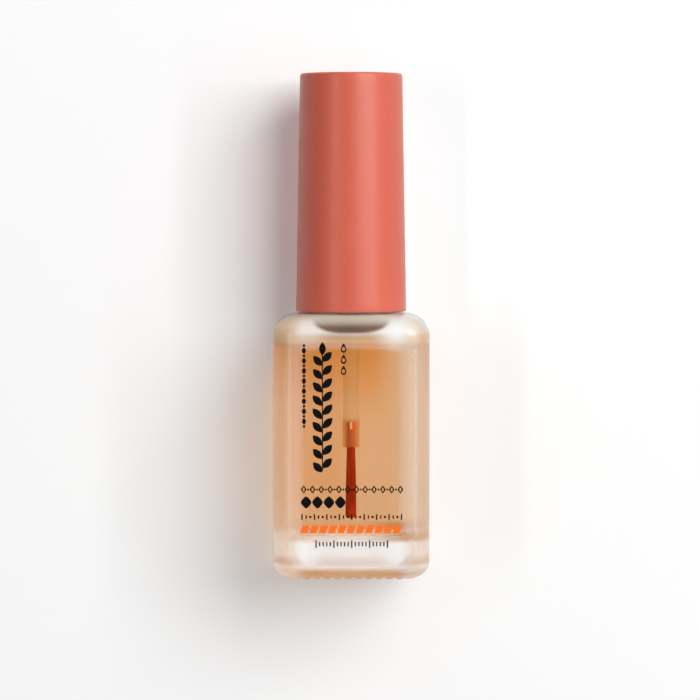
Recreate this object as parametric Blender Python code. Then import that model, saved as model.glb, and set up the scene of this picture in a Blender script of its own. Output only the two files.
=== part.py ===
"""Square glass bottle of cuticle oil with a screw cap and a brush, as separate solids in metres, +Z up."""

import math

import bmesh
import bpy
from mathutils import Vector
from mathutils.geometry import delaunay_2d_cdt

# Glass body
body_width = 0.0270
body_height = 0.0452
side_corner_radius = 0.0042
shoulder_run = 0.0049
shoulder_drop = 0.0031
shoulder_corner_radius = 0.0050
heel_run = 0.0029
heel_rise = 0.0028

# Glass base: a knurled bearing ring round a shallow push-up
bearing_ring_width = 0.0016
bearing_corner_radius = 0.0044
push_up_height = 0.0006
push_up_run = 0.0020
rib_height = 0.00028
rib_crest_width = 0.00060
rib_foot_width = 0.00105
rib_sink = 0.0002
ribs_per_side = 11

# Cavity
glass_wall = 0.00325
floor_thickness = 0.0075
roof_thickness = 0.0039
cavity_corner_radius = 0.0028
cavity_floor_radius = 0.0016
cavity_roof_run = 0.0042
cavity_roof_drop = 0.0030

# Neck and its thread
neck_height = 0.0112
neck_root_radius = 0.0057
neck_fillet = 0.0006
bore_radius = 0.0034
lip_rounding = 0.0005
thread_pitch = 0.002117
thread_turns = 2
thread_depth = 0.00075
thread_half_width = 0.00075
thread_drop = 0.0014

# Running clearance of the cap's thread, the gap of pieces that seat on each other, and a small broken edge
thread_clearance = 0.00015
seat_gap = 0.0003
small_edge = 0.0003

# Inner cap
inner_thread_depth = 0.0004
inner_wall = 0.0007
inner_ceiling = 0.0015
inner_socket_wall = 0.0011
drive_rib_height = 0.00025
drive_rib_count = 8

# Overcap
skirt_gap = 0.0009
overcap_height = 0.0410
overcap_wall = 0.0016
overcap_taper = 0.0007
overcap_edge_radius = 0.0005
overcap_roof = 0.0013
overcap_ledge = 0.0008

# Gasket and the brush stem
gasket_thickness = 0.0010
flange_thickness = 0.0012
flange_margin = 0.0002
stub_radius = 0.0022
stub_length = 0.0045
stem_top_radius = 0.0017
stem_low_radius = 0.00125
ferrule_radius = 0.001475
ferrule_length = 0.0050
ferrule_hole_depth = 0.0047

# Bristles and their staple
tuft_length = 0.0125
tuft_root_radius = 0.00075
tuft_tip_radius = 0.00103
tuft_tip_dome = 0.0004
tuft_recess = 0.0003
bristle_count = 300
bristle_root_radius = 0.000028
bristle_tip_radius = 0.000020
staple_thickness = 0.00025
staple_length = 0.0015
staple_height = 0.0013
staple_gap = 0.00025
fold_thickness = 0.0003
floor_clearance = 0.0024

# Oil
oil_headspace = 0.0009
oil_rounding = 0.0006
brush_well_clearance = 0.0004

# How finely the shapes are stepped: each ring of points has four equal quarters
side_steps = 2
corner_steps = 6
quarter_steps = 2 * side_steps + corner_steps
ring_steps = 4 * quarter_steps
stem_steps = 24
heel_steps = 3
shoulder_steps = 4
roof_steps = 3
edge_steps = 2
thread_rings = 18
thread_fade_share = 1 / 6
smooth_angle = math.radians(35)
golden_angle = math.pi * (3 - math.sqrt(5))
bristle_disc_share = 0.94
merge_share = 1e-7

# Sizes and heights worked out from the ones above
half_body = body_width / 2
half_cavity = half_body - glass_wall
base_z = rib_height
half_base = half_body - heel_run
half_shoulder = half_body - shoulder_run
floor_z = floor_thickness
roof_z = body_height - roof_thickness
lip_z = body_height + neck_height
thread_low_z = lip_z - thread_drop - thread_turns * thread_pitch
thread_radius = neck_root_radius + thread_depth
inner_crest_radius = thread_radius + thread_clearance
inner_root_radius = inner_crest_radius + inner_thread_depth
inner_radius = inner_root_radius + inner_wall
gasket_z = lip_z + seat_gap
flange_z = gasket_z + gasket_thickness + seat_gap
ceiling_z = flange_z + flange_thickness + seat_gap
inner_top_z = ceiling_z + inner_ceiling
inner_socket_radius = stub_radius + seat_gap
inner_socket_top_z = flange_z + flange_thickness + stub_length + seat_gap
flange_radius = inner_crest_radius - seat_gap - flange_margin
skirt_z = body_height + skirt_gap
overcap_bore_radius = inner_radius + seat_gap
overcap_radius = overcap_bore_radius + overcap_wall
overcap_ledge_z = inner_top_z + seat_gap
tuft_tip_z = floor_z + floor_clearance
ferrule_end_z = tuft_tip_z + tuft_length
ferrule_top_z = ferrule_end_z + ferrule_length
ferrule_hole_radius = tuft_root_radius + seat_gap
tuft_root_z = ferrule_end_z + tuft_recess
tuft_top_z = ferrule_end_z + ferrule_hole_depth - seat_gap
staple_top_z = tuft_top_z - fold_thickness - staple_gap
oil_z = roof_z - oil_headspace
well_radius = max(stem_top_radius, ferrule_radius, tuft_tip_radius) + brush_well_clearance
well_floor_z = tuft_tip_z - brush_well_clearance


def clear_scene():
    """Start from an empty scene."""
    for thing in list(bpy.data.objects):
        bpy.data.objects.remove(thing, do_unlink=True)


def mix(start, end, share):
    """The value that lies `share` of the way from `start` to `end`."""
    return start + (end - start) * share


# Rings of points

def circle_ring(radius, z, steps=ring_steps):
    """One turn of points at `z`. The radius is a number, or a function of the angle."""
    points = []
    for step in range(steps):
        angle = 2 * math.pi * step / steps
        reach = radius(angle) if callable(radius) else radius
        points.append((reach * math.cos(angle), reach * math.sin(angle), z))
    return points


def square_ring(half, corner, z):
    """One turn of points round a square of half-width `half`, whose corners are arcs of radius `corner`."""
    straight = half - corner
    quarter = []
    for step in range(quarter_steps):
        if step < side_steps:
            quarter.append((half, straight * step / side_steps))
        elif step <= side_steps + corner_steps:
            angle = (step - side_steps) / corner_steps * math.pi / 2
            quarter.append((straight + corner * math.cos(angle), straight + corner * math.sin(angle)))
        else:
            quarter.append((straight * (quarter_steps - step) / side_steps, half))
    points = []
    for cosine, sine in ((1, 0), (0, 1), (-1, 0), (0, -1)):
        for x, y in quarter:
            points.append((x * cosine - y * sine, x * sine + y * cosine, z))
    return points


def thread_share(angle, z, low_z):
    """How far the ridge of a right-hand helix stands at this angle and height, from 0 to 1."""
    share = 0
    for turn in range(thread_turns + 1):
        along = angle / (2 * math.pi) + turn
        if along > thread_turns:
            continue
        distance = abs(z - low_z - thread_pitch * along)
        if distance < thread_half_width:
            ridge = math.cos(math.pi / 2 * distance / thread_half_width) ** 2
            fade = min(1, along / thread_fade_share, (thread_turns - along) / thread_fade_share)
            share = max(share, ridge * fade)
    return share


def thread_band(base_radius, depth, low_z):
    """Rings over a thread that starts at `low_z`, with a ridge of `depth`, outward when positive."""
    band_low_z = low_z - thread_half_width
    band_top_z = low_z + thread_turns * thread_pitch + thread_half_width
    rings = []
    for step in range(thread_rings + 1):
        z = mix(band_low_z, band_top_z, step / thread_rings)

        def reach(angle, height=z):
            return base_radius + depth * thread_share(angle, height, low_z)

        rings.append(circle_ring(reach, z))
    return rings


# Meshes and objects

def material(name, colour, roughness, metallic=0.0, transmission=0.0, ior=1.5):
    """A plain finish for one sub-part."""
    finish = bpy.data.materials.new(name)
    finish.use_nodes = True
    shader = finish.node_tree.nodes["Principled BSDF"]
    shader.inputs["Base Color"].default_value = (*colour, 1.0)
    shader.inputs["Roughness"].default_value = roughness
    shader.inputs["Metallic"].default_value = metallic
    shader.inputs["Transmission Weight"].default_value = transmission
    shader.inputs["IOR"].default_value = ior
    return finish


def add_object(name, mesh_data, finish, origin_z):
    """Make an object from a bmesh, with its origin on the bottle's axis at `origin_z`."""
    bmesh.ops.recalc_face_normals(mesh_data, faces=mesh_data.faces)
    bmesh.ops.translate(mesh_data, verts=mesh_data.verts, vec=Vector((0, 0, -origin_z)))
    mesh = bpy.data.meshes.new(name)
    mesh_data.to_mesh(mesh)
    mesh_data.free()
    mesh.materials.append(finish)
    mesh.shade_smooth()
    mesh.set_sharp_from_angle(angle=smooth_angle)
    thing = bpy.data.objects.new(name, mesh)
    thing.location = (0, 0, origin_z)
    bpy.context.collection.objects.link(thing)
    return thing


def loft(rings, looped=False):
    """Skin rings of equally many points, and close both ends with flat faces unless the skin is looped."""
    mesh_data = bmesh.new()
    rows = [[mesh_data.verts.new(point) for point in ring] for ring in rings]
    spans = list(zip(rows, rows[1:]))
    if looped:
        spans.append((rows[-1], rows[0]))
    else:
        mesh_data.faces.new(rows[0])
        mesh_data.faces.new(rows[-1])
    for low, high in spans:
        for step in range(len(low)):
            after = (step + 1) % len(low)
            mesh_data.faces.new((low[step], low[after], high[after], high[step]))
    return mesh_data


def apply_boolean(thing, cutter, operation):
    """Join or cut with a helper object, apply the result and remove the helper."""
    change = thing.modifiers.new(operation.title(), "BOOLEAN")
    change.operation = operation
    change.solver = "EXACT"
    change.object = cutter
    bpy.context.view_layer.update()
    seen = thing.evaluated_get(bpy.context.evaluated_depsgraph_get())
    result = bpy.data.meshes.new_from_object(seen)
    thing.modifiers.remove(change)
    thing.data = result
    result.shade_smooth()
    result.set_sharp_from_angle(angle=smooth_angle)
    bpy.data.objects.remove(cutter, do_unlink=True)


# Glass bottle

def outer_glass_rings():
    """From the middle of the underside, round the base, up the sides and over the shoulder."""
    inner_half = half_base - bearing_ring_width
    inner_corner = bearing_corner_radius - bearing_ring_width
    raised_z = base_z + push_up_height
    raised_half = inner_half - push_up_run
    rings = [
        circle_ring(raised_half / 2, raised_z),
        square_ring(raised_half, min(inner_corner, raised_half), raised_z),
        square_ring(inner_half, inner_corner, base_z),
    ]
    for step in range(heel_steps + 1):
        angle = step / heel_steps * math.pi / 2
        half = half_base + heel_run * math.sin(angle)
        corner = mix(bearing_corner_radius, side_corner_radius, math.sin(angle))
        rings.append(square_ring(half, corner, base_z + heel_rise * (1 - math.cos(angle))))
    for step in range(shoulder_steps + 1):
        angle = step / shoulder_steps * math.pi / 2
        half = half_shoulder + shoulder_run * math.cos(angle)
        corner = mix(shoulder_corner_radius, side_corner_radius, math.cos(angle))
        z = body_height - shoulder_drop * (1 - math.sin(angle))
        rings.append(square_ring(half, corner, z))
    return rings


def neck_rings():
    """From the foot of the neck, up its thread and over the lip."""
    rings = [
        circle_ring(neck_root_radius + neck_fillet, body_height),
        circle_ring(neck_root_radius, body_height + neck_fillet),
    ]
    rings += thread_band(neck_root_radius, thread_depth, thread_low_z)
    rings += [
        circle_ring(neck_root_radius, lip_z - lip_rounding),
        circle_ring(neck_root_radius - lip_rounding, lip_z),
        circle_ring(bore_radius + lip_rounding, lip_z),
        circle_ring(bore_radius, lip_z - lip_rounding),
    ]
    return rings


def cavity_rings():
    """From the foot of the bore, over the cavity's roof and down to its floor."""
    roof_half = half_cavity - cavity_roof_run
    rings = [
        circle_ring(bore_radius, roof_z + neck_fillet),
        circle_ring(bore_radius + neck_fillet, roof_z),
    ]
    for step in range(roof_steps + 1):
        angle = step / roof_steps * math.pi / 2
        half = roof_half + cavity_roof_run * math.sin(angle)
        corner = mix(min(roof_half, shoulder_corner_radius), cavity_corner_radius, math.sin(angle))
        rings.append(square_ring(half, corner, roof_z - cavity_roof_drop * (1 - math.cos(angle))))
    for step in range(edge_steps + 1):
        angle = step / edge_steps * math.pi / 2
        inset = cavity_floor_radius * (1 - math.cos(angle))
        z = floor_z + cavity_floor_radius * (1 - math.sin(angle))
        rings.append(square_ring(half_cavity - inset, cavity_corner_radius - inset / 2, z))
    rings.append(circle_ring(half_cavity / 2, floor_z))
    return rings


def ring_place(half, corner, share):
    """The point and the outward angle at this share of the way round a rounded square."""
    straight = 2 * (half - corner)
    arc = corner * math.pi / 2
    quarter = straight + arc
    travel = (share % 1) * 4 * quarter
    turn = int(travel // quarter)
    left = travel - turn * quarter
    if left < straight:
        x = half
        y = left - straight / 2
        angle = 0
    else:
        angle = (left - straight) / corner
        x = straight / 2 + corner * math.cos(angle)
        y = straight / 2 + corner * math.sin(angle)
    outward = angle + turn * math.pi / 2
    cosine = math.cos(turn * math.pi / 2)
    sine = math.sin(turn * math.pi / 2)
    return x * cosine - y * sine, x * sine + y * cosine, outward


def base_ribs():
    """The knurled ring's ribs, which run across the bearing ring and carry the bottle."""
    mesh_data = bmesh.new()
    half = half_base - bearing_ring_width / 2
    corner = bearing_corner_radius - bearing_ring_width / 2
    reach = bearing_ring_width / 2
    foot_z = base_z + rib_sink
    count = 4 * ribs_per_side
    for rib in range(count):
        x, y, outward = ring_place(half, corner, (rib + 0.5) / count)
        cosine = math.cos(outward)
        sine = math.sin(outward)
        rows = []
        for end in (-reach, reach):
            row = []
            for across, z in (
                (-rib_foot_width / 2, foot_z),
                (-rib_crest_width / 2, 0),
                (rib_crest_width / 2, 0),
                (rib_foot_width / 2, foot_z),
            ):
                place = (x + end * cosine - across * sine, y + end * sine + across * cosine, z)
                row.append(mesh_data.verts.new(place))
            rows.append(row)
        mesh_data.faces.new(rows[0])
        mesh_data.faces.new(rows[1])
        for step in range(4):
            after = (step + 1) % 4
            mesh_data.faces.new((rows[0][step], rows[0][after], rows[1][after], rows[1][step]))
    return mesh_data


def make_glass_bottle():
    """Thick square glass with a threaded neck, one open cavity and a knurled base."""
    finish = material("clear_glass", (0.93, 0.90, 0.86), 0.03, transmission=1.0, ior=1.52)
    skin = loft(outer_glass_rings() + neck_rings() + cavity_rings())
    bottle = add_object("glass_bottle", skin, finish, 0)
    ribs = add_object("base_ribs", base_ribs(), finish, 0)
    apply_boolean(bottle, ribs, "UNION")


# Oil

def make_oil_fill():
    """The oil, with a well down its middle in which the brush moves."""
    finish = material("amber_oil", (0.86, 0.52, 0.24), 0.05, transmission=0.9, ior=1.47)
    half = half_cavity - seat_gap
    corner = cavity_corner_radius - seat_gap
    low_z = floor_z + seat_gap
    floor_inset = cavity_floor_radius
    roof_half = half_cavity - cavity_roof_run
    roof_start_z = roof_z - cavity_roof_drop
    rise = (oil_z - roof_start_z) / cavity_roof_drop
    top_half = roof_half + cavity_roof_run * math.sqrt(max(0, 1 - rise * rise)) - 2 * seat_gap
    rings = [
        circle_ring(half / 2, low_z),
        square_ring(half - floor_inset, corner, low_z),
        square_ring(half, corner, low_z + floor_inset),
        square_ring(half, corner, roof_start_z - seat_gap),
        square_ring(top_half, corner, oil_z),
        circle_ring(well_radius + oil_rounding, oil_z),
        circle_ring(well_radius, oil_z - oil_rounding),
        circle_ring(well_radius, well_floor_z + oil_rounding),
        circle_ring(well_radius - oil_rounding, well_floor_z),
    ]
    add_object("oil_fill", loft(rings), finish, 0)


# Cap

def ribbed(radius):
    """A radius that grows by the drive ribs, one ring step wide, at equal angles."""
    pitch = 2 * math.pi / drive_rib_count
    half_rib = math.pi / ring_steps

    def reach(angle):
        offset = (angle + pitch / 2) % pitch - pitch / 2
        return radius + (drive_rib_height if abs(offset) < half_rib else 0)

    return reach


def make_inner_cap():
    """Threaded cap: open below, with drive ribs outside and a closed socket for the stem's stub."""
    finish = material("inner_cap_plastic", (0.88, 0.86, 0.83), 0.45)
    socket_outer = inner_socket_radius + inner_socket_wall
    socket_roof_z = inner_socket_top_z + inner_socket_wall
    rib_top_z = inner_top_z - drive_rib_height
    rings = [
        circle_ring(socket_outer - small_edge, socket_roof_z),
        circle_ring(socket_outer, socket_roof_z - small_edge),
        circle_ring(socket_outer, inner_top_z),
        circle_ring(inner_radius - drive_rib_height, inner_top_z),
        circle_ring(ribbed(inner_radius - drive_rib_height), rib_top_z),
        circle_ring(ribbed(inner_radius - drive_rib_height), skirt_z + seat_gap + drive_rib_height),
        circle_ring(inner_radius - drive_rib_height, skirt_z + seat_gap),
        circle_ring(inner_root_radius, skirt_z + seat_gap),
    ]
    rings += thread_band(inner_root_radius, -inner_thread_depth, thread_low_z - thread_pitch / 2)
    rings += [
        circle_ring(inner_root_radius, ceiling_z),
        circle_ring(inner_socket_radius, ceiling_z),
        circle_ring(inner_socket_radius, inner_socket_top_z),
    ]
    add_object("inner_cap", loft(rings), finish, lip_z)


def make_overcap():
    """Tall tapered cover: a bore that grips the inner cap, a ledge that seats on it, and a hollow above."""
    finish = material("coral_plastic", (0.72, 0.17, 0.11), 0.38)
    top_z = skirt_z + overcap_height
    top_radius = overcap_radius - overcap_taper
    rings = [circle_ring(top_radius - overcap_edge_radius, top_z)]
    for step in range(1, edge_steps + 1):
        angle = step / edge_steps * math.pi / 2
        radius = top_radius - overcap_edge_radius * (1 - math.sin(angle))
        rings.append(circle_ring(radius, top_z - overcap_edge_radius * (1 - math.cos(angle))))
    hollow_radius = overcap_bore_radius - overcap_ledge
    rings += [
        circle_ring(overcap_radius, skirt_z + overcap_edge_radius),
        circle_ring(overcap_radius - overcap_edge_radius / 2, skirt_z),
        circle_ring(overcap_bore_radius + overcap_edge_radius / 2, skirt_z),
        circle_ring(overcap_bore_radius, skirt_z + overcap_edge_radius),
        circle_ring(overcap_bore_radius, overcap_ledge_z),
        circle_ring(hollow_radius, overcap_ledge_z),
        circle_ring(hollow_radius, top_z - overcap_roof - overcap_edge_radius),
        circle_ring(hollow_radius - overcap_edge_radius, top_z - overcap_roof),
    ]
    add_object("overcap", loft(rings), finish, lip_z)


# Seal and brush

def make_seal_gasket():
    """Soft washer that lies on the lip, round the stem."""
    finish = material("gasket_foam", (0.90, 0.89, 0.86), 0.8)
    hole_radius = stem_top_radius + seat_gap
    rings = [
        circle_ring(hole_radius, gasket_z),
        circle_ring(flange_radius, gasket_z),
        circle_ring(flange_radius, gasket_z + gasket_thickness),
        circle_ring(hole_radius, gasket_z + gasket_thickness),
    ]
    add_object("seal_gasket", loft(rings, looped=True), finish, lip_z)


def make_brush_stem():
    """Stub, sealing flange, tapered stem and the ferrule with its bristle hole, from the top down."""
    finish = material("stem_plastic", (0.85, 0.74, 0.60), 0.4)
    stub_top_z = flange_z + flange_thickness + stub_length
    turned = [
        (stub_radius - small_edge, stub_top_z),
        (stub_radius, stub_top_z - small_edge),
        (stub_radius, flange_z + flange_thickness),
        (flange_radius, flange_z + flange_thickness),
        (flange_radius, flange_z),
        (stem_top_radius, flange_z),
        (stem_low_radius, ferrule_top_z + small_edge),
        (ferrule_radius - small_edge / 2, ferrule_top_z),
        (ferrule_radius, ferrule_top_z - small_edge),
        (ferrule_radius, ferrule_end_z + small_edge / 2),
        (ferrule_radius - small_edge / 2, ferrule_end_z),
        (ferrule_hole_radius, ferrule_end_z),
        (ferrule_hole_radius, ferrule_end_z + ferrule_hole_depth),
    ]
    rings = [circle_ring(radius, z, stem_steps) for radius, z in turned]
    add_object("brush_stem", loft(rings), finish, lip_z)


def bristle_triangle(place, size, turn):
    """The three corners of one bristle's section, seen along the axis."""
    corners = []
    for corner in range(3):
        angle = turn + corner * 2 * math.pi / 3
        corners.append(Vector((place[0] + size * math.cos(angle), place[1] + size * math.sin(angle))))
    return corners


def make_bristle_tuft():
    """Bristles on a sunflower pattern, fused to the gathered root that fills the ferrule's hole."""
    finish = material("rust_bristle", (0.27, 0.02, 0.002), 0.5)
    spread = tuft_tip_radius / tuft_root_radius
    disc = tuft_root_radius * bristle_disc_share - bristle_root_radius
    outline = [Vector(point[:2]) for point in circle_ring(tuft_root_radius, 0, stem_steps)]
    flat_points = [point / tuft_root_radius for point in outline]
    loops = [list(range(stem_steps))]
    tips = []
    for bristle in range(bristle_count):
        radius = disc * math.sqrt((bristle + 0.5) / bristle_count)
        turn = bristle * golden_angle
        place = (radius * math.cos(turn), radius * math.sin(turn))
        start = len(flat_points)
        loops.append([start, start + 1, start + 2])
        flat_points += [corner / tuft_root_radius for corner in bristle_triangle(place, bristle_root_radius, turn)]
        tip_z = tuft_tip_z + tuft_tip_dome * (radius / disc) ** 2
        tip_place = (place[0] * spread, place[1] * spread)
        tips.append([(*corner, tip_z) for corner in bristle_triangle(tip_place, bristle_tip_radius, turn)])

    # The root's lower face is a disc with one hole for each bristle
    flat = delaunay_2d_cdt(flat_points, [], loops, 1, merge_share)
    mesh_data = bmesh.new()
    face_points = [point * tuft_root_radius for point in flat[0]]
    low = [mesh_data.verts.new((*point, tuft_root_z)) for point in face_points]
    for corners, sources in zip(flat[2], flat[5]):
        if max(sources) == 0:
            mesh_data.faces.new([low[corner] for corner in corners])

    # Where each given point went
    home = {}
    for index, sources in enumerate(flat[3]):
        for source in sources:
            home[source] = low[index]
    for loop, tip in zip(loops[1:], tips):
        root = [home[index] for index in loop]
        end = [mesh_data.verts.new(corner) for corner in tip]
        mesh_data.faces.new(end)
        for step in range(3):
            after = (step + 1) % 3
            mesh_data.faces.new((root[step], root[after], end[after], end[step]))
    rim = [home[index] for index in range(stem_steps)]
    top = [mesh_data.verts.new(point) for point in circle_ring(tuft_root_radius, tuft_top_z, stem_steps)]
    mesh_data.faces.new(top)
    for step in range(stem_steps):
        after = (step + 1) % stem_steps
        mesh_data.faces.new((rim[step], rim[after], top[after], top[step]))
    tuft = add_object("bristle_tuft", mesh_data, finish, lip_z)

    # The fold leaves a window through which the staple passes
    window = box_mesh(
        tuft_root_radius * 2,
        staple_thickness / 2 + staple_gap,
        staple_top_z - staple_height - staple_gap,
        staple_top_z + staple_gap,
    )
    apply_boolean(tuft, add_object("staple_window", window, finish, lip_z), "DIFFERENCE")


def box_mesh(half_x, half_y, low_z, high_z):
    """A box centred on the axis."""
    rings = []
    for z in (low_z, high_z):
        rings.append([(-half_x, -half_y, z), (half_x, -half_y, z), (half_x, half_y, z), (-half_x, half_y, z)])
    return loft(rings)


def make_tuft_staple():
    """Flat metal anchor across the ferrule's hole, inside the bristles' fold."""
    finish = material("staple_metal", (0.75, 0.72, 0.66), 0.3, metallic=1.0)
    body = box_mesh(staple_length / 2, staple_thickness / 2, staple_top_z - staple_height, staple_top_z)
    add_object("tuft_staple", body, finish, lip_z)


def main():
    clear_scene()
    make_glass_bottle()
    make_oil_fill()
    make_inner_cap()
    make_overcap()
    make_seal_gasket()
    make_brush_stem()
    make_bristle_tuft()
    make_tuft_staple()


main()
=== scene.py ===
"""Builds the surfaces and finishes of a square glass bottle of cuticle oil, its cap and its brush."""

import math

import bmesh
import bpy
import numpy as np
from bpy.props import FloatProperty, FloatVectorProperty, IntProperty, PointerProperty
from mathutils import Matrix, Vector


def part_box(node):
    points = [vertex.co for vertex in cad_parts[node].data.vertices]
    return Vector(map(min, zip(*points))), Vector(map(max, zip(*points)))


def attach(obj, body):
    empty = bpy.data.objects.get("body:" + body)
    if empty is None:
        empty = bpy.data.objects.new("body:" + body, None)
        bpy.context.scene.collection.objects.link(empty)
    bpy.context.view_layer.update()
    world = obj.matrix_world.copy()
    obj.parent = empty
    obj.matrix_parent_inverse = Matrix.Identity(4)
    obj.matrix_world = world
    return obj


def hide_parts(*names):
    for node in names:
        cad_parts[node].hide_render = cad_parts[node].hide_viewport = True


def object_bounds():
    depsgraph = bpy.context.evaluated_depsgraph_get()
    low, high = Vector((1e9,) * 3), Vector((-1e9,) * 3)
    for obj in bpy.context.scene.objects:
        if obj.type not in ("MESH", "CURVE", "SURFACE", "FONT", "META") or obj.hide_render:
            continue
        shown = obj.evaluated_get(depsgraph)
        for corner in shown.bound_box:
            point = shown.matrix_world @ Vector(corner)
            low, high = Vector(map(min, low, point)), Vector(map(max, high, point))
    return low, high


bl_info = {
    "name": "Cuticle Oil Bottle",
    "version": (1, 0, 0),
    "blender": (4, 5, 0),
    "location": "3D View > Sidebar > Oil Bottle",
    "description": "Builds a square glass bottle of cuticle oil with its cap, its brush and a pale stage",
    "category": "Add Mesh",
}

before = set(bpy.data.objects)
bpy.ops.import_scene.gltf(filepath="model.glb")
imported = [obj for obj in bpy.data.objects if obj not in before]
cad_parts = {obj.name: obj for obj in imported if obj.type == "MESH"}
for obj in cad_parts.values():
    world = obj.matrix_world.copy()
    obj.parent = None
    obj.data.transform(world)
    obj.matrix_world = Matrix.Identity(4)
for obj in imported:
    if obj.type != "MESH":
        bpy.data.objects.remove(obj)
cad_low, cad_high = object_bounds()
glass_low, glass_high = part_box("glass_bottle")
overcap_low, overcap_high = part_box("overcap")
inner_low, inner_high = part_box("inner_cap")
gasket_low, gasket_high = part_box("seal_gasket")
stem_low, stem_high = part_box("brush_stem")
tuft_low, tuft_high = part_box("bristle_tuft")
staple_low, staple_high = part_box("tuft_staple")
oil_low, oil_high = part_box("oil_fill")

# How finely the glass is stepped round: each quarter has a straight side and one corner
SIDE_STEPS = 60
CORNER_STEPS = 28
QUARTER_STEPS = SIDE_STEPS + CORNER_STEPS

# Columns round the overcap and the inner cap
CAP_STEPS = 160

TURN = 2 * math.pi
GOLDEN_ANGLE = math.pi * (3 - math.sqrt(5))
WHITE = (1.0, 1.0, 1.0)

# Hidden fits in metres: the gap at each seat, the wall and the closed end of the inner cap's socket, the
# clearance of its thread, the thickness of its ceiling, and how far its shoulder lies below its top
SEAT = 0.0003
SOCKET_WALL = 0.0011
THREAD_CLEARANCE = 0.00015
CEILING = 0.0015
SHOULDER_DEPTH = 0.0041


# Sizes and colours that a user would change

def length(name, description, default, high=0.1):
    """A length in metres."""
    return FloatProperty(
        name=name, description=description, default=default, min=0.0, max=high, unit="LENGTH", precision=5
    )


def share(name, description, default):
    """A number from 0 to 1."""
    return FloatProperty(
        name=name, description=description, default=default, min=0.0, max=1.0, subtype="FACTOR"
    )


def number(name, description, default, low=0.0, high=10000.0):
    """A plain number."""
    return FloatProperty(name=name, description=description, default=default, min=low, max=high)


def angle(name, description, degrees):
    """An angle, given in degrees."""
    return FloatProperty(name=name, description=description, default=math.radians(degrees), subtype="ANGLE")


def colour(name, description, default):
    """A linear colour."""
    return FloatVectorProperty(
        name=name, description=description, default=default, size=3, min=0.0, max=1.0, subtype="COLOR"
    )


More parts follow.
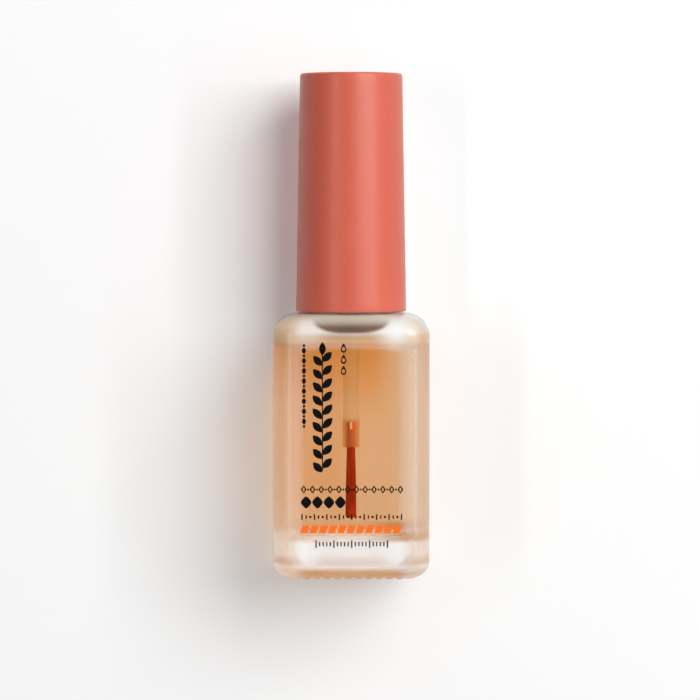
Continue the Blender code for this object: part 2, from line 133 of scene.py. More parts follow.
class BOTTLE_PG_glass(bpy.types.PropertyGroup):
    """The square bottle of thick glass."""

    body_height: length("Body height", "From the base to the flat of the shoulder", 0.04552)
    side_corner: length("Side corner radius", "Rounding of the upright corners", 0.0042)
    shoulder_run: length("Shoulder run", "How far the shoulder rounds inward", 0.0049)
    shoulder_drop: length("Shoulder drop", "How far the shoulder rounds downward", 0.00342)
    shoulder_corner: length("Shoulder corner radius", "Corner radius at the flat of the shoulder", 0.0050)
    heel_run: length("Heel run", "How far the heel rounds inward", 0.0026)
    heel_rise: length("Heel rise", "How far the heel rounds upward", 0.0028)
    bearing_width: length("Bearing ring width", "Width of the knurled ring under the bottle", 0.0016)
    bearing_corner: length("Bearing ring corner radius", "Outer corner radius of the knurled ring", 0.0024)
    knurl_depth: length("Knurl depth", "Depth of the notches between the lobes of the ring", 0.00040)
    knurl_count: IntProperty(
        name="Knurl lobes", description="Lobes of the ring on each side", default=11, min=3, max=30
    )
    push_up_height: length("Push-up height", "How far the underside is pushed up", 0.0006)
    push_up_run: length("Push-up run", "Width of the slope round the push-up", 0.0020)
    wall: length("Wall", "Thickness of the side walls", 0.00325)
    floor: length("Floor", "Thickness of the glass under the oil", 0.0075)
    roof: length("Roof", "Thickness of the glass over the oil", 0.00422)
    cavity_corner: length("Cavity corner radius", "Rounding of the cavity's upright corners", 0.0028)
    cavity_floor_radius: length("Cavity floor radius", "Rounding round the cavity's floor", 0.0016)
    cavity_roof_run: length("Cavity roof run", "How far the cavity's roof rounds inward", 0.0042)
    cavity_roof_drop: length("Cavity roof drop", "How far the cavity's roof rounds downward", 0.0030)
    neck_radius: length("Neck radius", "Radius at the root of the neck's thread", 0.0057)
    neck_fillet: length("Neck fillet", "Rounding at the foot of the neck", 0.0006)
    bore: length("Bore radius", "Radius of the mouth", 0.0034)
    lip_rounding: length("Lip rounding", "Rounding of the lip's edges", 0.0005)
    pitch: length("Thread pitch", "Rise of the neck's thread in one turn", 0.002117)
    thread_depth: length("Thread depth", "How far the neck's thread stands out", 0.00075)
    thread_half_width: length("Thread half width", "Half the width of the thread's ridge", 0.00075)
    thread_drop: length("Thread drop", "From the lip down to the thread's upper end", 0.0014)
    tint: colour("Tint", "Colour of the glass", (0.985, 0.988, 0.982))
    # Painted light and shade: these corner tints paint shade, a glow and the oil's colour on the glass
    corner_shade_tint: colour("Corner tint", "Colour of the upright corners beside the oil", (0.94, 0.88, 0.81))
    right_shade_tint: colour("Right tint", "Colour of the upright corners on the right", (0.77, 0.71, 0.65))
    painted_glow_tint: colour("Glow tint", "Colour of the corners that light from the oil warms", (0.875, 0.70, 0.51))
    painted_base_tint: colour("Base tint", "Colour of the upright corners below the oil", (0.87, 0.755, 0.64))
    # Painted: the oil's caramel colour that the heel would show
    painted_heel_tint: colour("Heel tint", "Colour of the heel", (0.63, 0.275, 0.088))
    # Partly the glass's green tinge, partly painted to take out the pink light the cap throws there
    shoulder_tint: colour("Shoulder tint", "Colour of the flat of the shoulder", (0.66, 0.89, 0.86))
    # Painted shade: a caramel band at the cavity's floor
    floor_shade_tint: colour("Floor tint", "Colour of the band at the cavity's floor", (0.62, 0.285, 0.10))
    # Painted: the oil's colour where its top shows through the shoulder's foot
    painted_band_tint: colour("Band tint", "Colour of the band where the oil's top shows", (0.82, 0.55, 0.34))
    # Painted shade: the dark neck foot behind the shoulder, and the shade on the shoulder's left end
    painted_dark_tint: colour("Foot tint", "Colour of the neck's foot behind the shoulder", (0.15, 0.105, 0.09))
    corner_milk: share("Corner milk", "Milkiness of the upright corners", 0.235)
    shoulder_milk: share("Shoulder milk", "Milkiness of the shoulder", 0.56)
    # The base's white window is painted light
    base_milk: share("Base milk", "Milkiness of the middle of the base", 0.42)
    # Painted highlights: the white ends of the shoulder and of the base's window
    highlight_pad_milk: share("Pad milk", "Milkiness of the white ends of the shoulder and the base", 0.84)
    pad_reach: length("Pad reach", "Half the width of the white ends of the shoulder", 0.0050)
    lamp_pass: colour("Lamp pass", "What one surface lets through of a lamp's light", (0.51, 0.52, 0.54))
    roughness: share("Roughness", "Roughness of the flat panels", 0.03)
    soft: share("Soft roughness", "Roughness at the corners and the base", 0.262)
    shoulder_soft: share("Shoulder roughness", "Roughness of the shoulder", 0.22)
    ior: number("Index", "Refractive index of soda-lime glass", 1.52, 1.0, 3.0)


class BOTTLE_PG_oil(bpy.types.PropertyGroup):
    """The amber oil."""

    overlap: length("Overlap", "How far the oil reaches into the glass, so that light bends once", 0.00002)
    meniscus_height: length("Meniscus height", "How far the oil climbs the glass", 0.00020)
    meniscus_reach: length("Meniscus reach", "How far from the glass the oil is level again", 0.0011)
    absorbed: colour("Absorption colour", "What the oil lets through", (0.900, 0.500, 0.0))
    density: number("Absorption density", "How strongly the oil takes up light, per metre", 62.0)
    # Painted shade in the oil, high in the middle and low on the left
    shaded: colour("Shaded tint", "Colour of the oil's deeper patches", (0.965, 0.64, 0.28))
    ior: number("Index", "Refractive index of the oil", 1.505, 1.0, 3.0)


class BOTTLE_PG_cap(bpy.types.PropertyGroup):
    """The coral overcap and the threaded inner cap."""

    wall: length("Overcap wall", "Wall of the overcap at its open end", 0.0016)
    # Painted bounce light: the lit side's colour for the light it throws on the floor
    bounce: colour("Bounce colour", "Colour that the lit side throws on the floor", (0.84, 0.78, 0.76))
    reach_down: length("Reach down", "How far the wall reaches below the plain solid", 0.00030)
    taper: length("Overcap taper", "How much slimmer the overcap's top is, in radius", 0.0007)
    edge: length("Edge rounding", "Rounding of the top edge", 0.0005)
    roof: length("Overcap roof", "Thickness of the closed end", 0.0013)
    ledge: length("Overcap ledge", "Width of the ledge that seats on the inner cap", 0.0008)
    clearance: length("Clearance", "Gap between the overcap and the inner cap", 0.0003)
    inner_thread: length("Inner thread depth", "Depth of the inner cap's thread", 0.0004)
    rib_height: length("Drive rib height", "Height of the ribs that turn the inner cap", 0.00025)
    rib_count: IntProperty(
        name="Drive ribs", description="Ribs round the inner cap", default=8, min=3, max=24
    )
    coral: colour("Coral", "Colour of the overcap", (0.70, 0.131, 0.078))
    coral_shade: colour("Coral shade", "Colour in the low spots of the satin grain", (0.63, 0.108, 0.062))
    ivory: colour("Ivory", "Colour of the inner cap", (0.86, 0.84, 0.80))
    roughness: share("Roughness", "Roughness of the satin coral", 0.37)


class BOTTLE_PG_brush(bpy.types.PropertyGroup):
    """The gasket, the stem, the bristles and their staple."""

    stub: length("Stub radius", "Radius of the stub in the inner cap's socket", 0.0022)
    flange: length("Flange thickness", "Thickness of the sealing flange", 0.0012)
    stub_length: length("Stub length", "Length of the stub above the flange", 0.0045)
    stem_top: length("Stem top radius", "Radius of the stem under the flange", 0.0017)
    stem_end: length("Stem end radius", "Radius of the stem above the ferrule", 0.00125)
    ferrule: length("Ferrule radius", "Radius of the ferrule", 0.001475)
    ferrule_length: length("Ferrule length", "Length of the ferrule", 0.0050)
    hole: length("Ferrule hole radius", "Radius of the hole for the bristles", 0.00105)
    hole_depth: length("Ferrule hole depth", "Depth of the hole for the bristles", 0.0047)
    root: length("Tuft root radius", "Radius of the gathered bristles", 0.00075)
    tip: length("Tuft tip radius", "Radius of the spread tips", 0.00101)
    strand: length("Strand radius", "Radius of one bristle", 0.000036)
    strands: IntProperty(name="Strands", description="Number of bristles", default=420, min=300, max=900)
    stem_colour: colour("Stem colour", "Colour of the translucent stem", (1.0, 0.95, 0.87))
    ferrule_colour: colour("Ferrule colour", "Colour of the ferrule round the bristles", (1.0, 0.70, 0.38))
    # The glint in the ferrule is painted
    glint_width: length("Bubble width", "Width of the bubble trapped in the ferrule", 0.0005)
    glint_colour: colour("Bubble colour", "Colour of that bubble", (1.0, 0.86, 0.68))
    rust: colour("Bristle colour", "Colour of the bristles", (0.70, 0.082, 0.001))
    rust_dark: colour("Bristle shade", "Colour of the darker bristles", (0.44, 0.038, 0.0005))
    rust_tip: colour("Bristle tip", "Colour of the bristles towards their tips", (0.82, 0.110, 0.001))
    foam: colour("Gasket colour", "Colour of the foam gasket", (0.88, 0.87, 0.84))
    metal: colour("Staple colour", "Colour of the brass staple", (0.80, 0.70, 0.52))


class BOTTLE_PG_print(bpy.types.PropertyGroup):
    """The plain ornament that is printed on the front."""

    thickness: length("Ink thickness", "Thickness of the ink film", 0.00003)
    black: colour("Black ink", "Colour of the black ink", (0.002, 0.002, 0.002))
    grey: colour("Grey ink", "Colour of the grey ink", (0.035, 0.032, 0.032))
    orange: colour("Orange ink", "Colour of the orange ink", (1.0, 0.17, 0.018))


class BOTTLE_PG_stage(bpy.types.PropertyGroup):
    """The pale floor, the lamps and the camera."""

    floor_gap: length("Floor gap", "From the bottle's back to the upright floor behind it", 0.00008)
    floor_size: length("Floor size", "Width of the floor", 3.0, 10.0)
    floor_colour: colour("Floor colour", "Colour of the floor", (0.955, 0.955, 0.955))
    floor_lift: share("Floor lift", "White that the floor shows beside what the lamps give", 0.04)
    floor_through: share("Floor through glass", "How white the floor always shows through glass", 0.60)
    key_angle: angle("Key angle", "Side angle of the key lamp", 32)
    key_rise: angle("Key rise", "Height angle of the key lamp", 23)
    key_power: number("Key power", "Power of the key lamp in watts", 10.3)
    strip_angle: angle("Strip angle", "Side angle of the narrow lamp", 50)
    strip_power: number("Strip power", "Power of the narrow lamp in watts", 0.9)
    fill_angle: angle("Fill angle", "Side angle of the fill lamp", -35)
    fill_power: number("Fill power", "Power of the fill lamp in watts", 1.15)
    back_power: number("Bounce power", "Power of the bounce lamp behind the floor in watts", 2.0)
    world: number("World strength", "Strength of the even light from all round", 0.26)
    dark_room: share("Dark room", "Brightness of the room's dark side in reflections", 0.05)
    room_angle: angle("Room angle", "How far the dark side of the room is turned to the left", 22)
    lens: FloatProperty(
        name="Lens", description="Focal length for a 36 mm sensor", default=169.7, unit="CAMERA"
    )
    distance: length("Camera distance", "From the camera to the bottle's axis", 0.575, 5.0)
    eye: length("Eye height", "Height of the camera", 0.0669)
    aim: length("Aim height", "Height that the camera looks at", 0.0390)
    side: FloatProperty(
        name="Side step", description="Side step of the camera", default=-0.0002, unit="LENGTH", precision=5
    )


class BOTTLE_PG_settings(bpy.types.PropertyGroup):
    """All settings of the bottle."""

    glass: PointerProperty(type=BOTTLE_PG_glass)
    oil: PointerProperty(type=BOTTLE_PG_oil)
    cap: PointerProperty(type=BOTTLE_PG_cap)
    brush: PointerProperty(type=BOTTLE_PG_brush)
    ink: PointerProperty(type=BOTTLE_PG_print)
    stage: PointerProperty(type=BOTTLE_PG_stage)


# Rings, skins and turned shapes

def mix(start, end, amount):
    """The value that lies `amount` of the way from `start` to `end`."""
    return start + (end - start) * amount


def quarter(steps):
    """The sine and cosine of equal steps through a quarter turn, from nothing to the whole."""
    angles = [step / steps * math.pi / 2 for step in range(steps + 1)]
    return [(math.sin(each), math.cos(each)) for each in angles]


def square_ring(half, corner, z):
    """Points round a square of half-width `half` whose corners are arcs of radius `corner`."""
    straight = half - corner
    side = np.linspace(-straight, straight, SIDE_STEPS + 1)
    bend = np.linspace(0, math.pi / 2, CORNER_STEPS + 1)[1:-1]
    x = np.concatenate([np.full(SIDE_STEPS + 1, half), straight + corner * np.cos(bend)])
    y = np.concatenate([side, straight + corner * np.sin(bend)])
    xs = np.concatenate([x, -y, -x, y])
    ys = np.concatenate([y, x, -y, -x])
    return np.column_stack([xs, ys, np.full(len(xs), z) if np.isscalar(z) else z])


def glass_angles():
    """The angles of the glass's columns on its round parts."""
    first = -math.pi / 4 * SIDE_STEPS / QUARTER_STEPS
    return first + np.arange(4 * QUARTER_STEPS) * TURN / (4 * QUARTER_STEPS)


def even_angles(steps):
    """Equal steps round a turn."""
    return np.arange(steps) * TURN / steps


def round_ring(radius, z, angles):
    """Points round a circle. The radius is a number, or one number for each angle."""
    flat = np.column_stack([radius * np.cos(angles), radius * np.sin(angles)])
    return np.column_stack([flat, np.full(len(angles), z)])


def round_rings(profile, angles):
    """A round ring for each (radius, height) of a profile."""
    return [round_ring(radius, z, angles) for radius, z in profile]


def squarish_ring(size, corner, z, squareness):
    """A ring of the glass between a circle and a rounded square."""
    return mix(round_ring(size, z, glass_angles()), square_ring(size, corner, z), squareness)


def thread_ridge(angles, z, low_z, pitch, half_width, turns=2, fade=1 / 6):
    """How far the ridge of a right-hand helix stands at each angle, from 0 to 1."""
    along_turn = np.mod(angles, TURN) / TURN
    found = np.zeros(len(angles))
    for turn in range(turns + 1):
        along = along_turn + turn
        distance = np.abs(z - low_z - pitch * along)
        crown = np.cos(math.pi / 2 * np.minimum(1, distance / half_width)) ** 2
        ridge = np.where(distance < half_width, crown, 0)
        found = np.maximum(found, ridge * np.clip(np.minimum(along, turns - along) / fade, 0, 1))
    return found


def thread_rings(glass, radius, depth, low_z, angles, steps=44):
    """Rings over two turns of thread, with a ridge of `depth`, outward when positive."""
    pitch = glass.pitch
    half_width = glass.thread_half_width
    rings = []
    for z in np.linspace(low_z - half_width, low_z + 2 * pitch + half_width, steps):
        reach = radius + depth * thread_ridge(angles, z, low_z, pitch, half_width)
        rings.append(round_ring(reach, z, angles))
    return rings


def bend_points(centre_r, centre_z, radius, start, end, steps):
    """Points of an arc in a turned profile, from one angle to another in degrees."""
    points = []
    for step in range(steps + 1):
        angle = math.radians(mix(start, end, step / steps))
        points.append((centre_r + radius * math.cos(angle), centre_z + radius * math.sin(angle)))
    return points


def band(low, high, count):
    """Faces between two closed rows of `count` points, which begin at `low` and at `high`."""
    turns = [(step, (step + 1) % count) for step in range(count)]
    return [(low + step, low + after, high + after, high + step) for step, after in turns]


def lid(first, count):
    """One face over a closed row of `count` points."""
    return tuple(range(first, first + count))


def skin(name, rings, looped=False, sharp=40):
    """Make an object by skinning rings of equally many points."""
    count = len(rings[0])
    rows = len(rings)
    assert all(len(ring) == count for ring in rings)
    faces = [] if looped else [lid(0, count), lid((rows - 1) * count, count)]
    for row in range(rows if looped else rows - 1):
        faces += band(row * count, (row + 1) % rows * count, count)
    return piece_from(name, np.concatenate(rings).tolist(), faces, sharp)


def stand(name, data):
    """Put a mesh, a lamp or a camera into the scene."""
    thing = bpy.data.objects.new(name, data)
    bpy.context.scene.collection.objects.link(thing)
    return thing


def piece_from(name, points, faces, sharp=40):
    """Make an object from points and faces, with its faces turned outward and smooth but for sharp edges."""
    mesh = bpy.data.meshes.new(name)
    mesh.from_pydata(points, [], faces)
    shape = bmesh.new()
    shape.from_mesh(mesh)
    bmesh.ops.recalc_face_normals(shape, faces=shape.faces)
    shape.to_mesh(mesh)
    shape.free()
    mesh.shade_smooth()
    mesh.set_sharp_from_angle(angle=math.radians(sharp))
    return stand(name, mesh)


def turned(name, profile, steps, looped=False):
    """Turn a profile of (radius, height) points about the bottle's axis."""
    return skin(name, round_rings(profile, even_angles(steps)), looped)


def dress(piece, finish, body, node=None):
    """Give a piece its material and its body, and hide the solid that it stands for."""
    piece.data.materials.append(finish)
    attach(piece, body)
    if node:
        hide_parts(node)


# Materials

def maths(tree, operation, first, second):
    """A Math node over two values, each a number or a socket."""
    node = tree.nodes.new("ShaderNodeMath")
    node.operation = operation
    for index, value in enumerate((first, second)):
        if isinstance(value, (int, float)):
            node.inputs[index].default_value = value
        else:
            tree.links.new(value, node.inputs[index])
    return node.outputs["Value"]


def ranged(tree, source, low, high, start, end, smooth=False):
    """A value that goes from `low` to `high` while the source goes from `start` to `end`."""
    node = tree.nodes.new("ShaderNodeMapRange")
    node.interpolation_type = "SMOOTHSTEP" if smooth else "LINEAR"
    for socket, value in (("From Min", start), ("From Max", end), ("To Min", low), ("To Max", high)):
        node.inputs[socket].default_value = value
    tree.links.new(source, node.inputs["Value"])
    return node.outputs["Result"]


def swapped(tree, amount, first, second):
    """The first shader, or the second where the amount is 1."""
    node = tree.nodes.new("ShaderNodeMixShader")
    for socket, source in (("Fac", amount), (1, first), (2, second)):
        tree.links.new(source, node.inputs[socket])
    return node.outputs["Shader"]


class Finish:
    """A node material with short ways to add noise, ramps and bump."""

    def __init__(self, name, **values):
        """Start a material, with plain values on the shader's own sockets."""
        self.material = bpy.data.materials.new(name)
        self.material.use_nodes = True
        self.tree = self.material.node_tree
        self.shader = self.tree.nodes["Principled BSDF"]
        self.output = self.tree.nodes["Material Output"]
        self.place = self.add("TexCoord").outputs["Object"]
        self.split = None
        for key, value in values.items():
            self.shader.inputs[key.replace("_", " ")].default_value = value

    def add(self, kind):
        """A new node, by the end of its type's name."""
        return self.tree.nodes.new("ShaderNode" + kind)

    def link(self, source, target):
        """Join two sockets."""
        self.tree.links.new(source, target)

    def wire(self, **sources):
        """Lead a varying value or colour into each named socket of the shader."""
        for key, source in sources.items():
            self.link(source, self.shader.inputs[key.replace("_", " ")])
        return self.material

    def axis(self, name):
        """One coordinate in object space."""
        if not self.split:
            self.split = self.add("SeparateXYZ")
            self.link(self.place, self.split.inputs["Vector"])
        return self.split.outputs[name]

    def size(self, name):
        """One coordinate in object space, without its sign."""
        return self.pick("ABSOLUTE", self.axis(name), 0.0)

    def corner(self):
        """The smaller of the sizes of X and Y, which is largest at the upright corners."""
        return self.pick("MINIMUM", self.size("X"), self.size("Y"))

    def noise(self, scale, detail=3.0, roughness=0.5, stretch=None):
        """Noise in object space; `stretch` scales the three axes."""
        texture = self.add("TexNoise")
        for socket, value in (("Scale", scale), ("Detail", detail), ("Roughness", roughness)):
            texture.inputs[socket].default_value = value
        place = self.place
        if stretch:
            mapping = self.add("Mapping")
            mapping.inputs["Scale"].default_value = stretch
            self.link(place, mapping.inputs["Vector"])
            place = mapping.outputs["Vector"]
        self.link(place, texture.inputs["Vector"])
        return texture.outputs["Fac"]

    def spread(self, source, low, high, start=0.3, end=0.7):
        """Map a value evenly from one range to another. The usual range is that of noise."""
        return ranged(self.tree, source, low, high, start, end)

    def ramp(self, along, low, high, places):
        """Ease from one value to another between two places on an axis, or between two values of a socket."""
        source = self.axis(along) if isinstance(along, str) else along
        return ranged(self.tree, source, low, high, *places, smooth=True)

    def pick(self, operation, first, *others):
        """A sum, power, larger, smaller or the like of two or more values, taken from the left."""
        for value in others:
            first = maths(self.tree, operation, first, value)
        return first

    def times(self, *values):
        """The product of two or more values."""
        return self.pick("MULTIPLY", *values)

    def blend(self, amount, first, second):
        """Blend two colours by a value. A colour is a plain one or another node's."""
        node = self.add("Mix")
        node.data_type = "RGBA"
        for name, tone in (("A", first), ("B", second)):
            socket = [each for each in node.inputs if each.name == name and each.type == "RGBA"][0]
            if isinstance(tone, bpy.types.NodeSocket):
                self.link(tone, socket)
            else:
                socket.default_value = (*tone, 1.0)
        self.link(amount, node.inputs["Factor"])
        return [each for each in node.outputs if each.type == "RGBA"][0]

    def clouded(self, cloud, tone, amount):
        """A colour that falls to `amount` of itself where the noise is high."""
        return self.blend(self.spread(cloud, 0.0, 1.0), tone, tuple(value * amount for value in tone))

    def bump(self, height, strength, distance, below=None):
        """Bump from a height, over another bump if there is one."""
        node = self.add("Bump")
        node.inputs["Strength"].default_value = strength
        node.inputs["Distance"].default_value = distance
        self.link(height, node.inputs["Height"])
        if below:
            self.link(below, node.inputs["Normal"])
        return node.outputs["Normal"]

    def let_lamps_through(self, tint):
        """Lamps shine straight through this surface, and leave the tint behind."""
        clear = self.add("BsdfTransparent")
        clear.inputs["Color"].default_value = (*tint, 1.0)
        shadow = self.add("LightPath").outputs["Is Shadow Ray"]
        either = swapped(self.tree, shadow, self.shader.outputs["BSDF"], clear.outputs["BSDF"])
        self.link(either, self.output.inputs["Surface"])


def from_wall(*insets):
    """Places that lie these lengths in from the glass's outer wall."""
    return [glass_high.x - inset for inset in insets]


def about(place, *steps):
    """Places that lie these lengths above a place."""
    return [place + step for step in steps]


def portions(size, *amounts):
    """These shares of a length."""
    return [size * amount for amount in amounts]


def shoulder_foot(glass):
    """The height where the shoulder begins."""
    return glass.body_height - glass.shoulder_drop


def soft_zones(finish, glass, inside=False):
    """Roughness that is low on the four flat panels, and soft where the mould rounds the glass."""
    clear = glass.roughness
    flat = glass_high.x - glass.side_corner
    top = shoulder_foot(glass)
    low = glass_low.z + glass.floor
    if inside:
        flat -= glass.wall * 0.65
        top -= 0.0006
        low += glass.cavity_floor_radius
    level = finish.pick(
        "MAXIMUM",
        finish.ramp(finish.corner(), clear, glass.soft, about(flat, -0.0016, 0.0010)),
        finish.ramp("Z", clear, glass.soft if inside else glass.shoulder_soft, about(top, -0.0026, -0.0008)),
        finish.ramp("Z", glass.soft, clear, about(low, -0.0002, 0.0012)),
    )
    if not inside:
        below_neck = finish.ramp("Z", 1.0, 0.0, about(glass.body_height, 0.0009, 0.0014))
        level = finish.pick("MAXIMUM", finish.times(level, below_neck), clear)
    return finish.pick("ADD", level, finish.spread(finish.noise(260.0, 3.0), -0.006, 0.006))


def highlight_pads(finish, glass):
    """Painted highlights at both ends of each side's shoulder, from 0 to 1, and weaker on the left, away from
    the key lamp.
    """
    centre = glass_high.x - 0.0056
    height = shoulder_foot(glass) + 0.0005
    wide = glass.pad_reach
    tall = glass.pad_reach * 0.8
    across = finish.spread(finish.corner(), -1.0, 1.0, centre - wide, centre + wide)
    along = finish.spread(finish.axis("Z"), -1.0, 1.0, height - tall, height + tall)
    squares = [finish.times(each, each) for each in (across, along)]
    far = finish.pick("POWER", finish.pick("ADD", *squares), 0.5)
    lean = finish.spread(finish.axis("X"), 0.42, 1.0, -centre * 0.5, centre * 0.5)
    return finish.times(finish.ramp(far, 1.0, 0.0, (0.0, 1.0)), lean)


def painted_base_window(finish, glass):
    """A painted white window in each side's thick base, for the lit floor seen through it: square at the top
    and narrower below, from 0 to 1.
    """
    slant = finish.ramp("Z", 0.0024, 0.0, portions(glass.floor, 0.28, 0.76))
    across = finish.pick("ADD", finish.corner(), slant)
    return finish.times(
        finish.ramp(across, 1.0, 0.0, from_wall(0.0042, 0.0018)),
        finish.ramp("Z", 0.0, 1.0, portions(glass.floor, 0.24, 0.42)),
        finish.ramp("Z", 1.0, 0.0, portions(glass.floor, 0.84, 1.03)),
    )


def corner_tone(finish, glass):
    """Clear panels, and upright corners with painted shade and oil colour, a painted glow on the left and
    deeper painted shade on the right.
    """
    height = finish.axis("Z")
    rise = finish.spread(height, 0.15, 0.90, glass.floor, glass.body_height - glass.roof)
    extra = finish.ramp(height, 0.0, 0.35, portions(glass.body_height, 0.80, 0.88))
    left = finish.spread(finish.axis("X"), 1.0, 0.0, glass_low.x, glass_high.x)
    glow = finish.times(left, finish.pick("ADD", rise, extra))
    shaded = finish.ramp("X", 0.0, 1.0, from_wall(0.0036, 0.0010))
    warm = finish.blend(glow, finish.blend(shaded, glass.corner_shade_tint, glass.right_shade_tint), glass.painted_glow_tint)
    edge = finish.blend(finish.ramp("Z", 1.0, 0.0, portions(glass.floor, 0.70, 1.15)), warm, glass.painted_base_tint)
    side = finish.ramp(finish.corner(), 0.0, 1.0, from_wall(0.0056, 0.0026))
    cloud = finish.spread(finish.noise(90.0, 2.0), 0.0, 0.06)
    return finish.blend(finish.pick("MAXIMUM", side, cloud), glass.tint, edge)


def painted_heel_band(finish, glass):
    """Painted caramel at the heel, for the oil's colour seen through it, weaker at the corners."""
    middle = finish.ramp(finish.corner(), 1.0, 0.25, from_wall(0.0060, 0.0030))
    return finish.times(finish.ramp("Z", 1.0, 0.0, portions(glass.heel_rise, 0.55, 0.95)), middle)


def painted_floor_shade(finish, glass):
    """A band of painted caramel shade at the cavity's floor, deeper on the right."""
    return finish.times(
        finish.ramp("Z", 0.0, 1.0, portions(glass.floor, 0.86, 0.98)),
        finish.ramp("Z", 1.0, 0.0, portions(glass.floor, 1.06, 1.22)),
        finish.ramp("X", 0.26, 0.90, (0.0, glass_high.x * 0.7)),
    )


def painted_left_shade(finish, glass):
    """Painted shade on the shoulder's left end."""
    top = shoulder_foot(glass)
    left = finish.ramp("X", 0.16, 0.0, portions(glass_low.x, 0.85, 0.35))
    return finish.times(left, finish.ramp("Z", 0.0, 1.0, about(top, -0.0005, 0.0010)))


def painted_oil_band(finish, glass):
    """A band of painted caramel where the oil's top shows through the foot of the shoulder, between the
    painted highlight pads.
    """
    top = shoulder_foot(glass)
    return finish.times(
        finish.ramp("Z", 0.0, 1.0, about(top, -0.0026, -0.0012)),
        finish.ramp("Z", 1.0, 0.0, about(top, -0.0004, 0.0008)),
        finish.pick("SUBTRACT", 1.0, highlight_pads(finish, glass)),
    )


def green_flat(finish, glass):
    """The green tinge of the flat of the shoulder, which ends at the neck; it also paints out the pink light
    that the cap throws there.
    """
    height = finish.axis("Z")
    flat = glass.body_height
    drop = glass.shoulder_drop
    return finish.times(
        finish.spread(height, 0.0, 1.0, flat - drop * 0.8, flat - drop * 0.2),
        finish.ramp(finish.corner(), 1.0, 0.35, portions(glass.neck_radius, 0.85, 1.45)),
        finish.spread(height, 1.0, 0.0, flat + 0.0001, flat + 0.0004),
    )


def painted_neck_foot(finish, glass):
    """A painted dark crescent for the shaded neck foot seen through each side of the shoulder, darker
    downward.
    """
    top = glass.body_height - glass.shoulder_drop * 0.16
    across = finish.pick("DIVIDE", finish.corner(), glass.neck_radius * 1.16)
    down = finish.pick("DIVIDE", finish.pick("SUBTRACT", top, finish.axis("Z")), glass.shoulder_drop * 0.74)
    far = finish.pick("ADD", finish.pick("POWER", across, 3.0), finish.times(down, down))
    inside = finish.ramp(far, 1.0, 0.0, (0.72, 1.20))
    return finish.times(inside, finish.ramp(down, 0.0, 1.0, (-0.10, 0.64)))


def glass_tones(finish, glass):
    """Clear glass with painted light and shade laid over one another from below: the tints that the oil and
    the room would lend it.
    """
    tone = corner_tone(finish, glass)
    for layer, tint in (
        (painted_heel_band, glass.painted_heel_tint),
        (painted_floor_shade, glass.floor_shade_tint),
        (painted_left_shade, glass.painted_dark_tint),
        (painted_oil_band, glass.painted_band_tint),
        (green_flat, glass.shoulder_tint),
        (painted_neck_foot, glass.painted_dark_tint),
    ):
        tone = finish.blend(layer(finish, glass), tone, tint)
    return tone


def milk(finish, glass):
    """How much light the glass lets through: all of it in the panels and the neck, less where it is satin and
    where white highlights and a white window in the base are painted.
    """
    top = shoulder_foot(glass)
    corner = finish.corner()
    ends = finish.ramp(corner, glass.base_milk, glass.highlight_pad_milk, from_wall(0.0095, 0.0050))
    level = finish.pick(
        "MAXIMUM",
        finish.ramp(corner, 0.0, glass.corner_milk, from_wall(0.0060, 0.0038)),
        finish.ramp("Z", 0.0, glass.shoulder_milk, about(top, -0.0027, -0.0009)),
        finish.ramp("Z", glass.corner_milk, 0.0, portions(glass.floor, 0.84, 1.03)),
        finish.times(painted_base_window(finish, glass), ends),
    )
    clear = finish.pick("SUBTRACT", 1.0, level)
    pads = finish.times(highlight_pads(finish, glass), clear, glass.highlight_pad_milk)
    level = finish.pick("ADD", level, pads)
    body = finish.ramp("Z", 1.0, 0.0, about(glass.body_height, 0.0006, 0.0011))
    return finish.pick("SUBTRACT", 1.0, finish.times(level, body))


def glass_finish(glass):
    """Clear glass with the faint waves of a moulded bottle, satin where the mould rounds it, with painted
    light and shade.
    """
    finish = Finish("clear_glass_surface", IOR=glass.ior)
    finish.let_lamps_through(glass.lamp_pass)
    return finish.wire(
        Base_Color=glass_tones(finish, glass),
        Transmission_Weight=milk(finish, glass),
        Roughness=soft_zones(finish, glass),
        Normal=finish.bump(finish.noise(110.0, 1.0, stretch=(1.0, 1.0, 0.45)), 0.35, 0.0004),
    )


def wetted_finish(glass, oil):
    """The cavity's wall under the oil, which bends light a little, because glass and oil are nearly alike."""
    finish = Finish("wetted_glass_surface", Transmission_Weight=1.0, IOR=glass.ior / oil.ior)
    finish.let_lamps_through(WHITE)
    return finish.wire(
        Base_Color=finish.clouded(finish.noise(90.0, 2.0), WHITE, 0.985),
        Roughness=soft_zones(finish, glass, inside=True),
    )


def oil_finish(oil):
    """Amber oil, which takes up blue and green light over its depth. The wetted glass does the bending."""
    finish = Finish("amber_oil_body", Transmission_Weight=1.0, IOR=1.0)
    finish.let_lamps_through((0.99, 0.98, 0.96))
    cloud = finish.spread(finish.noise(70.0, 2.0), 0.0, 1.0)
    pale = finish.blend(cloud, (0.995, 0.985, 0.965), (0.98, 0.96, 0.93))

    # Painted shade: darker high up in the middle, and low down on the left
    high = finish.ramp("Z", 0.0, 1.0, (mix(oil_low.z, oil_high.z, 0.50), oil_high.z))
    middle = finish.ramp("X", 1.0, 0.05, portions(oil_high.x, 0.30, 0.85))
    low = finish.ramp("Z", 0.0, 1.0, (oil_low.z, mix(oil_low.z, oil_high.z, 0.25)))
    left = finish.ramp("X", 0.24, 0.0, (oil_low.x * 0.30, oil_high.x * 0.20))
    painted_shades = [finish.times(*pair) for pair in ((high, middle), (left, low))]
    volume = finish.add("VolumeAbsorption")
    volume.inputs["Color"].default_value = (*oil.absorbed, 1.0)
    volume.inputs["Density"].default_value = oil.density
    finish.link(volume.outputs["Volume"], finish.output.inputs["Volume"])
    return finish.wire(
        Base_Color=finish.blend(finish.pick("MAXIMUM", *painted_shades), pale, oil.shaded),
        Roughness=finish.spread(cloud, 0.01, 0.03),
    )


